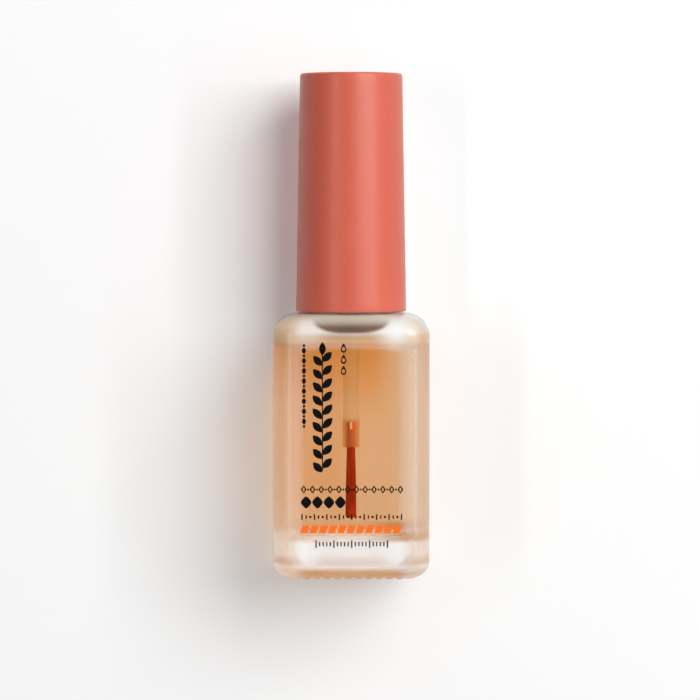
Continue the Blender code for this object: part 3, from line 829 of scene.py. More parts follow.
def coral_finish(cap):
    """Satin coral plastic with a fine moulded grain."""
    finish = Finish("coral_satin_plastic", IOR=1.5)
    grain = finish.noise(3600.0, 2.0, 0.6)
    cloud = finish.noise(260.0, 3.0)
    tone = finish.blend(finish.spread(grain, 0.0, 0.55), cap.coral, cap.coral_shade)

    # Painted bounce: for the light it bounces, the coral is paler on its lit side, so it throws little of its
    # colour on the white floor
    bounced = finish.add("LightPath").outputs["Is Diffuse Ray"]
    lit = finish.spread(finish.axis("X"), 0.0, 1.0, 0.0, overcap_high.x * 0.5)
    return finish.wire(
        Base_Color=finish.blend(finish.times(bounced, lit), tone, cap.bounce),
        Roughness=finish.spread(cloud, cap.roughness - 0.05, cap.roughness + 0.06),
        Normal=finish.bump(cloud, 0.10, 0.00006, finish.bump(grain, 0.25, 0.00002)),
    )


def ivory_finish(cap):
    """Ivory moulded plastic of the inner cap."""
    finish = Finish("ivory_moulded_plastic", IOR=1.49)
    cloud = finish.noise(420.0, 3.0)
    lines = finish.noise(900.0, 2.0, stretch=(1.0, 1.0, 6.0))
    return finish.wire(
        Base_Color=finish.clouded(cloud, cap.ivory, 0.93),
        Roughness=finish.spread(cloud, 0.36, 0.50),
        Normal=finish.bump(lines, 0.15, 0.00003),
    )


def foam_finish(brush):
    """Soft closed-cell foam of the gasket."""
    finish = Finish("pale_gasket_foam")
    cells = finish.add("TexVoronoi")
    cells.inputs["Scale"].default_value = 5200.0
    finish.link(finish.place, cells.inputs["Vector"])
    depth = cells.outputs["Distance"]
    dim = tuple(value * 0.84 for value in brush.foam)
    return finish.wire(
        Base_Color=finish.blend(finish.spread(depth, 0.0, 1.0, 0.0, 0.8), brush.foam, dim),
        Roughness=finish.spread(finish.noise(800.0), 0.72, 0.9),
        Normal=finish.bump(depth, 0.5, 0.00005),
    )


def stem_finish(brush):
    """Milky translucent plastic, nearly invisible in the oil, and warm round the bristles."""
    finish = Finish("milky_stem_plastic", IOR=1.02, Coat_Weight=0.12, Coat_Roughness=0.25)
    finish.let_lamps_through((0.92, 0.88, 0.82))
    cloud = finish.noise(500.0, 2.0, stretch=(1.0, 1.0, 0.3))
    ferrule_top = stem_low.z + brush.ferrule_length
    warm = finish.ramp("Z", 1.0, 0.0, about(ferrule_top, -0.0010, 0.0004))
    tone = finish.blend(warm, finish.clouded(cloud, brush.stem_colour, 0.96), brush.ferrule_colour)

    # A painted glint, a pale stripe for an air pocket trapped between the bristles and the closed end of
    # their hole
    glint = finish.times(
        finish.ramp(finish.size("X"), 1.0, 0.0, portions(brush.glint_width, 0.25, 0.5)),
        finish.spread(finish.axis("Z"), 0.0, 1.0, *about(ferrule_top, -0.0020, -0.0017)),
        finish.spread(finish.axis("Z"), 1.0, 0.0, *about(ferrule_top, -0.0007, -0.0004)),
    )
    clear = finish.spread(warm, 0.80, 0.86, 0.0, 1.0)
    return finish.wire(
        Base_Color=finish.blend(glint, tone, brush.glint_colour),
        Transmission_Weight=finish.pick("SUBTRACT", clear, finish.times(glint, 0.55)),
        Roughness=finish.spread(cloud, 0.16, 0.24),
        Normal=finish.bump(cloud, 0.10, 0.00003),
    )


def bristle_finish(brush):
    """Rust-coloured nylon filament, darker in streaks and brighter at the tips."""
    finish = Finish("rust_bristle_nylon", IOR=1.53, Specular_IOR_Level=0.12)
    streak = finish.noise(9000.0, 2.0, 0.6, stretch=(1.0, 1.0, 0.03))
    tone = finish.blend(finish.spread(streak, 0.0, 1.0), brush.rust, brush.rust_dark)
    tips = finish.ramp("Z", 1.0, 0.0, about(tuft_low.z, 0.0, 0.0035))
    return finish.wire(
        Base_Color=finish.blend(tips, tone, brush.rust_tip),
        Roughness=finish.spread(streak, 0.32, 0.50),
    )


def staple_finish(brush):
    """Drawn metal with fine lengthwise lines."""
    finish = Finish("drawn_staple_metal", Metallic=1.0)
    lines = finish.noise(6000.0, 2.0, 0.6, stretch=(0.05, 1.0, 1.0))
    return finish.wire(
        Base_Color=finish.clouded(lines, brush.metal, 0.8),
        Roughness=finish.spread(lines, 0.22, 0.40),
    )


def ink_finish(name, tone):
    """Screen-printed ink with a slightly uneven film."""
    finish = Finish(name, IOR=1.48, Specular_IOR_Level=0.1)
    film = finish.noise(2600.0, 3.0)
    thin = tuple(min(1.0, value * 1.12 + 0.002) for value in tone)
    return finish.wire(
        Base_Color=finish.blend(finish.spread(film, 0.0, 1.0), tone, thin),
        Roughness=finish.spread(film, 0.40, 0.52),
        Normal=finish.bump(film, 0.2, 0.00001),
    )


# Glass

def glass_body(glass, ink):
    """The bottle from the middle of its underside, up its outside, over the lip and down into the cavity."""
    turn = glass_angles()
    half = glass_high.x - ink.thickness
    half_base = half - glass.heel_run
    width = glass.bearing_width
    inner_half = half_base - width
    inner_corner = glass.bearing_corner - width
    base_z = glass_low.z + glass.knurl_depth
    rings = []

    # Underside: a shallow push-up that rounds down to the bearing ring
    raised_z = base_z + glass.push_up_height
    raised_half = inner_half - glass.push_up_run
    for reach, squareness in ((0.06, 0.0), (0.35, 0.1), (0.62, 0.35), (0.85, 0.75)):
        size = raised_half * reach
        rings.append(squarish_ring(size, min(inner_corner, size * 0.55), raised_z, squareness))
    for step in range(8):
        down = step / 8
        z = mix(raised_z, base_z, 0.5 - 0.5 * math.cos(math.pi * down))
        rings.append(square_ring(mix(raised_half, inner_half, down), inner_corner, z))

    # Bearing ring: round lobes with pointed notches between them
    centre = square_ring(half_base - width / 2, glass.bearing_corner - width / 2, 0.0)
    steps = np.linalg.norm(np.roll(centre, -1, axis=0) - centre, axis=1)
    along = np.concatenate([[0.0], np.cumsum(steps)[:-1]]) / steps.sum()
    lobes = np.abs(np.cos(math.pi * (along * 4 * glass.knurl_count + 0.5)))
    for across in (0.0, 0.07, 0.2, 0.35, 0.5, 0.65, 0.8, 0.93):
        corner = mix(inner_corner, glass.bearing_corner, across)
        crown = math.sin(math.pi * min(1.0, across + 0.03)) ** 0.45 if across else 0.0
        z = base_z - glass.knurl_depth * crown * lobes
        rings.append(square_ring(mix(inner_half, half_base, across), corner, z))

    # Heel, on whose first rings the lobes run out
    for step, (sine, cosine) in enumerate(quarter(14)):
        corner = mix(glass.bearing_corner, glass.side_corner, sine)
        run_out = 0.75 * max(0.0, 1 - step / 4) ** 1.5
        z = base_z + glass.heel_rise * (1 - cosine) - glass.knurl_depth * run_out * lobes
        rings.append(square_ring(half_base + glass.heel_run * sine, corner, z))

    # Walls and shoulder
    heel_top = base_z + glass.heel_rise
    for up in (0.015, 0.2, 0.4, 0.6, 0.8, 0.985):
        rings.append(square_ring(half, glass.side_corner, mix(heel_top, shoulder_foot(glass), up)))
    for sine, cosine in quarter(24):
        size = half - glass.shoulder_run * (1 - cosine)
        corner = mix(glass.shoulder_corner, glass.side_corner, cosine)
        rings.append(square_ring(size, corner, glass.body_height - glass.shoulder_drop * (1 - sine)))

    # Neck, its thread, the lip and the bore
    fillet = glass.neck_fillet
    rounding = glass.lip_rounding
    foot = glass.neck_radius + fillet
    lip_z = glass_high.z
    roof_z = glass.body_height - glass.roof
    profile = [(foot + fillet / 2, glass.body_height)]
    profile += bend_points(foot, glass.body_height + fillet, fillet, -90, -180, 6)
    rings += round_rings(profile, turn)
    low_z = lip_z - glass.thread_drop - 2 * glass.pitch
    rings += thread_rings(glass, glass.neck_radius, glass.thread_depth, low_z, turn)
    profile = bend_points(glass.neck_radius - rounding, lip_z - rounding, rounding, 0, 90, 5)
    profile += bend_points(glass.bore + rounding, lip_z - rounding, rounding, 90, 180, 5)
    profile += bend_points(glass.bore + fillet, roof_z + fillet, fillet, 180, 270, 5)
    rings += round_rings(profile, turn)
    return skin("glass_body", rings + cavity_rings(glass))


def cavity_rings(glass, grow=0.0):
    """The cavity's wall from its roof to its floor, `grow` larger all round."""
    half = glass_high.x - glass.wall
    roof_z = glass.body_height - glass.roof
    floor_z = glass_low.z + glass.floor
    radius = glass.cavity_floor_radius
    low = floor_z + radius
    roof_half = half - glass.cavity_roof_run
    rings = []
    for sine, cosine in quarter(18):
        size = roof_half + glass.cavity_roof_run * sine + grow
        corner = mix(roof_half * 0.62, glass.cavity_corner, sine)
        rings.append(square_ring(size, corner, roof_z - glass.cavity_roof_drop * (1 - cosine)))
    for down in (0.02, 0.25, 0.5, 0.75, 0.98):
        z = mix(roof_z - glass.cavity_roof_drop, low, down)
        rings.append(square_ring(half + grow, glass.cavity_corner, z))
    for sine, cosine in quarter(8):
        inset = radius * (1 - cosine)
        z = low - (radius + grow) * sine
        rings.append(square_ring(half - inset + grow, glass.cavity_corner - inset / 2, z))
    for reach, squareness in ((0.8, 0.7), (0.5, 0.25), (0.06, 0.0)):
        size = (half - radius) * reach
        rings.append(squarish_ring(size, min(glass.cavity_corner, size * 0.5), floor_z - grow, squareness))
    return rings


def mark_wetted(piece, glass):
    """Give the cavity's faces the second material: oil covers them, as a film above its level."""
    margin = 0.00005
    reach = glass_high.x - glass.wall + margin
    low_z = glass_low.z + glass.floor - margin
    roof_z = glass.body_height - glass.roof + margin
    for face in piece.data.polygons:
        x, y, z = face.center
        if max(abs(x), abs(y)) < reach and low_z < z < roof_z:
            face.material_index = 1


def oil_body(glass, oil):
    """The oil, which fills the cavity up to its level and climbs the glass a little."""
    walls = cavity_rings(glass, oil.overlap)
    level = oil_high.z
    contact = level + oil.meniscus_height
    nearest = contact - 0.00003
    wetted = [ring for ring in walls if ring[0, 2] < nearest]
    above = [ring for ring in walls if ring[0, 2] >= nearest][-1]
    below = wetted[0]
    edge = mix(below, above, (contact - below[0, 2]) / (above[0, 2] - below[0, 2]))
    half = edge[:, 0].max()
    top = []
    for inset in (1.0, 0.75, 0.5, 0.3, 0.15):
        ring = edge * ((half - oil.meniscus_reach * inset) / half)
        ring[:, 2] = level + oil.meniscus_height * (1 - inset) ** 2.2
        top.append(ring)
    lead = []
    for reach in (0.05, 0.4, 0.75):
        flat = top[0] * reach
        flat[:, 2] = level
        lead.append(mix(round_ring(top[0][:, 0].max() * reach, level, glass_angles()), flat, reach))
    return skin("oil_body", lead + top + [edge] + wetted, sharp=60)


# Cap

def overcap_shell(cap):
    """The tall tapered overcap: its hollow, its bore, its open rim, its wall and its closed end."""
    low_z = overcap_low.z - cap.reach_down
    top_z = overcap_high.z
    roof_z = top_z - cap.roof
    ledge_z = inner_high.z - SHOULDER_DEPTH + cap.clearance
    radius = overcap_high.x
    top_radius = radius - cap.taper
    bore = radius - cap.wall
    hollow = bore - cap.ledge
    edge = cap.edge
    rim = 0.00028
    dish = 0.00004
    middle = 0.0004
    profile = [(middle, roof_z), (hollow * 0.6, roof_z)]
    profile += bend_points(hollow - edge, roof_z - edge, edge, 90, 0, 5)
    profile += [(hollow, mix(roof_z, ledge_z, 0.5)), (hollow, ledge_z + rim)]
    profile += bend_points(hollow + rim, ledge_z + rim, rim, 180, 270, 4)
    profile += [(bore, ledge_z), (bore, mix(ledge_z, low_z, 0.5)), (bore, low_z + rim)]
    profile += bend_points(bore + rim, low_z + rim, rim, 180, 270, 4)
    profile += bend_points(radius - rim, low_z + rim, rim, 270, 360, 6)
    for up in (0.03, 0.2, 0.4, 0.6, 0.8, 0.97):
        profile.append((mix(radius, top_radius, up), mix(low_z + rim, top_z - edge, up)))
    profile += bend_points(top_radius - edge, top_z - edge, edge, 0, 90, 9)
    dish_z = top_z - dish
    profile += [(top_radius * 0.86, top_z - dish * 0.5), (top_radius * 0.5, dish_z), (middle, dish_z)]
    return turned("overcap_shell", profile, CAP_STEPS)


def inner_cap_shell(cap, brush, glass):
    """The threaded inner cap, with drive ribs outside and a closed socket for the stem."""
    angles = even_angles(CAP_STEPS)
    top_z = inner_high.z
    skirt_z = inner_low.z
    end_z = top_z - SOCKET_WALL
    ceiling_z = gasket_high.z + SEAT + brush.flange + SEAT
    shoulder_z = ceiling_z + CEILING
    body = inner_high.x - cap.rib_height
    socket = brush.stub + SEAT
    outer = socket + SOCKET_WALL
    root = glass.neck_radius + glass.thread_depth + THREAD_CLEARANCE + cap.inner_thread
    edge = 0.0003
    middle = 0.0003
    profile = [(middle, top_z), (outer - edge * 1.5, top_z)]
    profile += bend_points(outer - edge, top_z - edge, edge, 80, 0, 4)
    profile += [(outer, mix(top_z, shoulder_z, 0.5)), (outer, shoulder_z + edge)]
    profile += bend_points(outer + edge, shoulder_z + edge, edge, 190, 270, 4)
    profile.append((mix(outer, body, 0.6), shoulder_z))
    profile += bend_points(body - edge, shoulder_z - edge, edge, 90, 0, 4)
    rings = round_rings(profile, angles)
    wave = np.mod(angles * cap.rib_count / TURN + 0.5, 1.0) - 0.5
    rib = np.clip(1.6 - np.abs(wave) * CAP_STEPS / cap.rib_count / 1.6, 0, 1)
    for up in (0.0, 0.05, 0.35, 0.65, 0.95, 1.0):
        height = cap.rib_height if 0.0 < up < 1.0 else 0.0
        rings.append(round_ring(body + height * rib, mix(shoulder_z - 0.0006, skirt_z + 0.0005, up), angles))
    half_edge = edge / 2
    profile = bend_points(body - half_edge, skirt_z + half_edge, half_edge, 0, -90, 4)
    profile += bend_points(root + half_edge, skirt_z + half_edge, half_edge, -90, -180, 4)
    rings += round_rings(profile, angles)
    low_z = glass_high.z - glass.thread_drop - 2.5 * glass.pitch
    rings += thread_rings(glass, root, -cap.inner_thread, low_z, angles)
    profile = [(root, ceiling_z - edge), (root - edge, ceiling_z), (socket + edge, ceiling_z)]
    profile += [(socket, ceiling_z + edge), (socket, end_z - edge), (socket - edge, end_z), (middle, end_z)]
    return skin("inner_cap_shell", rings + round_rings(profile, angles))


# Gasket, stem, bristles and staple

def seal_washer(brush):
    """The foam washer, its faces a little hollow and its edges round."""
    low = gasket_low.z
    high = gasket_high.z
    outer = gasket_high.x
    hole = brush.stem_top + SEAT
    middle = mix(hole, outer, 0.5)
    edge = 0.00032
    dip = 0.00002
    profile = bend_points(hole + edge, low + edge, edge, 180, 270, 4) + [(middle, low + dip)]
    profile += bend_points(outer - edge, low + edge, edge, 270, 360, 4)
    profile += bend_points(outer - edge, high - edge, edge, 0, 90, 4) + [(middle, high - dip)]
    profile += bend_points(hole + edge, high - edge, edge, 90, 180, 4)
    return turned("seal_washer", profile, 96, looped=True)


def stem_moulding(brush):
    """The stub, the sealing flange, the tapered stem and the ferrule with its hole."""
    end_z = stem_low.z
    top_z = stem_high.z
    flange_top = top_z - brush.stub_length
    flange_low = flange_top - brush.flange
    flange = gasket_high.x
    ferrule_top = end_z + brush.ferrule_length
    hole_z = end_z + brush.hole_depth
    waist = brush.stem_end
    edge = 0.00016
    soft = 2 * edge
    profile = [(0.0003, top_z)]
    profile += bend_points(brush.stub - soft, top_z - soft, soft, 90, 0, 4)
    profile += [(brush.stub, mix(top_z, flange_top, 0.5)), (brush.stub, flange_top + edge)]
    profile += bend_points(brush.stub + edge, flange_top + edge, edge, 180, 270, 3)
    profile += bend_points(flange - soft, flange_top - soft, soft, 90, 0, 4)
    profile += bend_points(flange - soft, flange_low + soft, soft, 0, -90, 4)
    profile += bend_points(brush.stem_top + edge, flange_low - edge, edge, 90, 180, 3)
    for down in (0.12, 0.3, 0.5, 0.7, 0.9):
        profile.append((mix(brush.stem_top, waist, down), mix(flange_low, ferrule_top, down)))
    profile += [(waist, ferrule_top + 2.2 * edge), (waist + edge * 0.25, ferrule_top + edge)]
    profile += bend_points(brush.ferrule - edge, ferrule_top - edge, edge, 75, 0, 4)
    profile += [(brush.ferrule, mix(ferrule_top, end_z, 0.5)), (brush.ferrule, end_z + edge)]
    profile += bend_points(brush.ferrule - edge, end_z + edge, edge, 0, -90, 4)
    profile += [(brush.hole + edge, end_z), (brush.hole, end_z + edge)]
    profile += [(brush.hole, end_z + brush.hole_depth * 0.6), (brush.hole, hole_z - edge)]
    profile += [(brush.hole - edge, hole_z), (0.0002, hole_z)]
    return turned("stem_moulding", profile, 64)


def bristle_strands(brush):
    """Fine bristles that leave the ferrule gathered, spread to their tips and bow a little."""
    sides = 5
    rows = 8
    root_z = tuft_high.z - 0.0004
    gather_z = stem_low.z + 0.0003
    tip_z = tuft_low.z
    dome = 0.00045
    bowing = 0.00004
    drifting = 0.00002
    unevenness = 0.00022
    disc = brush.root - brush.strand * 1.6
    widest = brush.tip - brush.strand
    random = np.random.default_rng(7)
    points = []
    faces = []
    for strand in range(brush.strands):
        radius = disc * math.sqrt((strand + 0.5) / brush.strands)
        turn = strand * GOLDEN_ANGLE
        bow = random.normal(0.0, bowing, 2)
        drift = random.normal(0.0, drifting, 2)
        end_z = tip_z + dome * (radius / disc) ** 2 + random.uniform(0.0, unevenness)
        for row in range(rows + 1):
            z = mix(root_z, end_z, row / rows)
            spread = max(0.0, (gather_z - z) / (gather_z - tip_z))
            reach = mix(1.0, widest / disc, spread ** 1.1)
            swell = math.sin(math.pi * spread)
            x = radius * math.cos(turn) * reach + bow[0] * swell + drift[0] * spread
            y = radius * math.sin(turn) * reach + bow[1] * swell + drift[1] * spread
            far = math.hypot(x, y)
            if far > widest:
                x *= widest / far
                y *= widest / far
            size = brush.strand * mix(1.0, 0.62, spread ** 2)
            for side in range(sides):
                angle = turn + side * TURN / sides
                points.append((x + size * math.cos(angle), y + size * math.sin(angle), z))
        base = strand * (rows + 1) * sides
        for low in range(base, base + rows * sides, sides):
            faces += band(low, low + sides, sides)
        faces += [lid(base, sides), lid(base + rows * sides, sides)]

    # The gathered root, where the bristles are folded round the staple and fused
    base = len(points)
    steps = 40
    collar = (
        (gather_z + 0.0003, 0.8), (gather_z + 0.0004, 0.97), (tuft_high.z - 0.0003, 1.0), (tuft_high.z, 0.86)
    )
    for z, size in collar:
        for step in range(steps):
            angle = step * TURN / steps
            reach = brush.root * size * (1 - 0.035 * (step % 2))
            points.append((reach * math.cos(angle), reach * math.sin(angle), z))
    for row in range(3):
        faces += band(base + row * steps, base + (row + 1) * steps, steps)
    faces += [lid(base, steps), lid(base + 3 * steps, steps)]
    return piece_from("bristle_strands", points, faces, 60)


def staple_clip():
    """The flat staple, with its edges broken."""
    mesh = bpy.data.meshes.new("staple_clip")
    shape = bmesh.new()
    bmesh.ops.create_cube(shape, size=1.0)
    size = staple_high - staple_low
    centre = (staple_high + staple_low) / 2
    for corner in shape.verts:
        corner.co = [centre[axis] + corner.co[axis] * size[axis] for axis in range(3)]
    bmesh.ops.bevel(shape, geom=list(shape.edges), offset=0.00005, segments=3, profile=0.5, affect="EDGES")
    shape.to_mesh(mesh)
    shape.free()
    mesh.shade_smooth()
    return stand("staple_clip", mesh)


# Print: plain leaves, drops, lozenges and ticks, drawn in millimetres on the front face

def evenly(first, last, count):
    """This many places from the first to the last."""
    return [mix(first, last, step / (count - 1)) for step in range(count)]


def leaf(x, z, length_mm, width, angle, steps=9):
    """Outline of a leaf that grows from a point."""
    cosine = math.cos(angle)
    sine = math.sin(angle)
    outline = []
    for side, order in ((1, range(steps)), (-1, range(steps, 0, -1))):
        for step in order:
            along = step / steps * length_mm
            across = side * width / 2 * math.sin(math.pi * (step / steps)) ** 0.85
            outline.append((x + along * cosine - across * sine, z + along * sine + across * cosine))
    return outline


def bar(x, z, width, height, slant=0.0):
    """Outline of an upright bar about its centre, leaning by `slant`."""
    w = width / 2
    h = height / 2
    return [(x - w - slant, z - h), (x + w - slant, z - h), (x + w + slant, z + h), (x - w + slant, z + h)]


def lozenge(x, z, width, height, steps=16):
    """Outline of a lozenge with softly hollow sides."""
    outline = []
    for step in range(steps):
        angle = step * TURN / steps
        across, up = [math.copysign(abs(each) ** 1.5, each) for each in (math.cos(angle), math.sin(angle))]
        outline.append((x + width / 2 * across, z + height / 2 * up))
    return outline


def dot(x, z, radius, steps=20):
    """Outline of a dot."""
    turns = [step * TURN / steps for step in range(steps)]
    return [(x + radius * math.cos(turn), z + radius * math.sin(turn)) for turn in turns]


def drop_line(x, z, height, stroke, steps=28):
    """A drop drawn as a thin closed line: its outer and its inner points."""
    outer = []
    inner = []
    for step in range(steps):
        angle = step * TURN / steps
        tall = math.cos(angle)
        wide = math.sin(angle) * (0.5 - 0.5 * tall) ** 0.55
        inset = stroke * (1.0 if tall < 0 else 2.2)
        outer.append((x + wide * height * 0.40, z + tall * height / 2))
        inner.append((x + wide * (height * 0.40 - stroke), z + tall * (height / 2 - inset)))
    return outer, inner


def lozenge_line(x, z, width, height, stroke):
    """A lozenge drawn as a thin closed line: its outer and its inner points."""
    sizes = [(width / 2 - inset, height / 2 - inset) for inset in (0.0, stroke * 1.45)]
    return [[(x + w, z), (x, z + h), (x - w, z), (x, z - h)] for w, h in sizes]


def on_glass(depth, line):
    """Points in metres, at this depth, of a line that is drawn in millimetres."""
    return [(x / 1000, depth, z / 1000) for x, z in line]


def ink_piece(name, ink, outlines, rings=()):
    """Ink films of the given outlines and closed lines, on the front of the glass."""
    front = glass_low.y
    back = front + ink.thickness * 1.12
    points = []
    faces = []
    for outline in outlines:
        base = len(points)
        count = len(outline)
        points += on_glass(front, outline) + on_glass(back, outline)
        faces += [lid(base, count), lid(base + count, count), *band(base, base + count, count)]
    for outer, inner in rings:
        base = len(points)
        count = len(outer)
        for depth in (front, back):
            points += on_glass(depth, outer) + on_glass(depth, inner)
        loops = [base, base + count, base + 3 * count, base + 2 * count]
        for first, second in zip(loops, loops[1:] + loops[:1]):
            faces += band(first, second, count)
    return piece_from(name, points, faces, 30)


def sprig(x, low, top):
    """A stalk with nine pairs of leaves and one at its tip."""
    outlines = [bar(x, (top + low) / 2 - 0.4, 0.20, top - low - 1.6)]
    outlines.append(leaf(x, top - 2.2, 2.3, 1.15, math.pi / 2))
    for pair, z in enumerate(evenly(low + 0.5, top - 3.6, 9)):
        size = 2.45 - 0.35 * abs(pair / 8 - 0.45)
        for side, lean in ((1, 48), (-1, 132)):
            outlines.append(leaf(x + side * 0.06, z + 0.35 * side, size, 1.25, math.radians(lean)))
    return outlines


def bead_column(x, low, top):
    """Nine square beads with a lozenge between each two."""
    outlines = []
    for step, z in enumerate(evenly(low, top, 9)):
        outlines.append(bar(x, z, 0.42, 0.42))
        if step < 8:
            outlines.append(lozenge(x, z + (top - low) / 8 / 2, 0.75, 1.15))
    return outlines


def black_shapes():
    """A leafy sprig down the left, with small rows of drops, lozenges and ticks."""
    outlines = sprig(-4.9, 18.6, 40.9) + bead_column(-8.05, 26.6, 40.4)
    rings = [drop_line(-1.3, 36.2 + step * 1.9, 1.6, 0.26) for step in range(3)]
    row_z = 15.8
    for step, x in enumerate(evenly(-8.1, 8.4, 12)):
        rings.append(lozenge_line(x, row_z, 1.04, 1.42, 0.21))
        if step < 11:
            outlines.append(dot(x + 0.75, row_z, 0.17))
    outlines += [lozenge(-7.7 + step * 1.95, 13.6, 1.85, 2.1) for step in range(4)]
    tick_z = 11.1
    for step, x in enumerate(evenly(-8.4, 8.6, 25)):
        tick = (bar(x, tick_z, 0.24, 1.0), bar(x, tick_z, 0.24, 0.6), dot(x, tick_z, 0.21))[step % 3]
        outlines.append(tick)
    return outlines, rings


def orange_shapes():
    """A row of slanted orange blocks."""
    return [bar(x, 8.98, 1.18, 1.32, 0.22) for x in evenly(-7.9, 7.9, 11)]


def grey_shapes():
    """A short graduated row of ticks, every fifth of them taller."""
    return [bar(x, 6.45, 0.24, 0.75 if step % 5 else 1.3) for step, x in enumerate(evenly(-6.0, 6.2, 21))]


# Stage

def shown(tree, path, kind):
    """One for reflections or for what shows through glass, but not for light that a matt surface gathers."""
    return maths(tree, "MULTIPLY", path[kind], maths(tree, "LESS_THAN", path["Diffuse Depth"], 0.5))


def floor_finish(stage):
    """A pale floor with a little even white, seen from its front only."""
    finish = Finish("pale_floor")
    finish.tree.nodes.remove(finish.shader)
    path = finish.add("LightPath").outputs
    matt = finish.add("BsdfDiffuse")
    matt.inputs["Color"].default_value = (*stage.floor_colour, 1.0)
    lift = finish.add("Emission")
    finish.link(finish.times(path["Is Camera Ray"], stage.floor_lift), lift.inputs["Strength"])
    lifted = finish.add("AddShader")
    finish.link(matt.outputs["BSDF"], lifted.inputs[0])
    finish.link(lift.outputs["Emission"], lifted.inputs[1])
    through = finish.times(shown(finish.tree, path, "Is Transmission Ray"), stage.floor_through)
    white = finish.add("Emission").outputs["Emission"]
    pale = swapped(finish.tree, through, lifted.outputs["Shader"], white)
    behind = finish.add("NewGeometry").outputs["Backfacing"]
    clear = finish.add("BsdfTransparent").outputs["BSDF"]
    finish.link(swapped(finish.tree, behind, pale, clear), finish.output.inputs["Surface"])
    return finish.material


def white_world(stage):
    """Even light from all round, which looks white where it's seen."""
    world = bpy.data.worlds.new("even_white")
    world.use_nodes = True
    tree = world.node_tree
    background = tree.nodes["Background"]
    background.inputs["Color"].default_value = (*WHITE, 1.0)
    path = tree.nodes.new("ShaderNodeLightPath").outputs
    glossy, through = [shown(tree, path, kind) for kind in ("Is Glossy Ray", "Is Transmission Ray")]
    seen = maths(tree, "MAXIMUM", path["Is Camera Ray"], maths(tree, "MAXIMUM", glossy, through))
    strength = ranged(tree, seen, stage.world, 1.0, 0.0, 1.0)

    # Reflections show a dark room in front of the bottle and to its left, and white elsewhere
    way = tree.nodes.new("ShaderNodeVectorMath")
    way.operation = "DOT_PRODUCT"
    way.inputs[1].default_value = (math.sin(stage.room_angle), math.cos(stage.room_angle), 0.0)
    tree.links.new(tree.nodes.new("ShaderNodeTexCoord").outputs["Generated"], way.inputs[0])
    room = ranged(tree, way.outputs["Value"], 1.0 - stage.dark_room, 0.0, -0.90, 0.15, smooth=True)
    mirrored = maths(tree, "SUBTRACT", path["Is Glossy Ray"], path["Is Transmission Ray"])
    shade = maths(tree, "MULTIPLY", room, maths(tree, "MAXIMUM", mirrored, 0.0))
    final = maths(tree, "MULTIPLY", strength, maths(tree, "SUBTRACT", 1.0, shade))
    tree.links.new(final, background.inputs["Strength"])
    bpy.context.scene.world = world


def area_lamp(centre, name, turn, rise, distance, width, height, power):
    """An area lamp at a side angle and a height angle from the camera's side, aimed at the bottle."""
    lamp = bpy.data.lights.new(name, "AREA")
    lamp.shape = "RECTANGLE"
    lamp.size = width
    lamp.size_y = height
    lamp.energy = power
    thing = stand(name, lamp)
    way = Vector((math.sin(turn) * math.cos(rise), -math.cos(turn) * math.cos(rise), math.sin(rise)))
    thing.location = centre + way * distance
    thing.rotation_mode = "QUATERNION"
    thing.rotation_quaternion = way.to_track_quat("Z", "Y")
    thing.visible_camera = False


def set_camera(stage):
    """The camera at the photograph's eye, a little above the shoulder and far off."""
    data = bpy.data.cameras.new("front_camera")
    data.lens = stage.lens
    data.sensor_width = 36.0
    camera = stand("front_camera", data)
    eye = Vector((stage.side, -stage.distance, stage.eye))
    aim = Vector((stage.side, 0.0, stage.aim))
    camera.location = eye
    camera.rotation_euler = (aim - eye).to_track_quat("-Z", "Y").to_euler()
    bpy.context.scene.camera = camera


def floor_sheet(stage, centre):
    """The floor, which stands upright close behind the bottle."""
    y = cad_high.y + stage.floor_gap
    half = stage.floor_size / 2
    mesh = bpy.data.meshes.new("floor_sheet")
    corners = [(x * half, y, centre.z + z * half) for x, z in ((-1, -1), (1, -1), (1, 1), (-1, 1))]
    mesh.from_pydata(corners, [], [lid(0, 4)])
    mesh.materials.append(floor_finish(stage))
    floor = stand("floor_sheet", mesh)
    floor.visible_diffuse = False
    floor.visible_shadow = False
    return floor


# Operators

class BOTTLE_OT_glass(bpy.types.Operator):
    """Build the thick square glass with its threaded neck and knurled base"""

    bl_idname = "oil_bottle.glass"
    bl_label = "Glass Bottle"

    def execute(self, context):
        settings = context.scene.oil_bottle
        piece = glass_body(settings.glass, settings.ink)
        dress(piece, glass_finish(settings.glass), "bottle", "glass_bottle")
        piece.data.materials.append(wetted_finish(settings.glass, settings.oil))
        mark_wetted(piece, settings.glass)
        return {"FINISHED"}


class BOTTLE_OT_oil(bpy.types.Operator):
    """Fill the glass with amber oil up to its level"""

    bl_idname = "oil_bottle.oil"
    bl_label = "Oil"

    def execute(self, context):
        settings = context.scene.oil_bottle
        piece = oil_body(settings.glass, settings.oil)
        dress(piece, oil_finish(settings.oil), "bottle", "oil_fill")
        return {"FINISHED"}


class BOTTLE_OT_overcap(bpy.types.Operator):
    """Build the tall coral overcap"""

    bl_idname = "oil_bottle.overcap"
    bl_label = "Overcap"

    def execute(self, context):
        cap = context.scene.oil_bottle.cap
        dress(overcap_shell(cap), coral_finish(cap), "cap", "overcap")
        return {"FINISHED"}


class BOTTLE_OT_inner_cap(bpy.types.Operator):
    """Build the threaded inner cap"""

    bl_idname = "oil_bottle.inner_cap"
    bl_label = "Inner Cap"

    def execute(self, context):
        settings = context.scene.oil_bottle
        piece = inner_cap_shell(settings.cap, settings.brush, settings.glass)
        dress(piece, ivory_finish(settings.cap), "cap", "inner_cap")
        return {"FINISHED"}


class BOTTLE_OT_gasket(bpy.types.Operator):
    """Build the foam gasket on the lip"""

    bl_idname = "oil_bottle.gasket"
    bl_label = "Gasket"

    def execute(self, context):
        brush = context.scene.oil_bottle.brush
        dress(seal_washer(brush), foam_finish(brush), "seal", "seal_gasket")
        return {"FINISHED"}


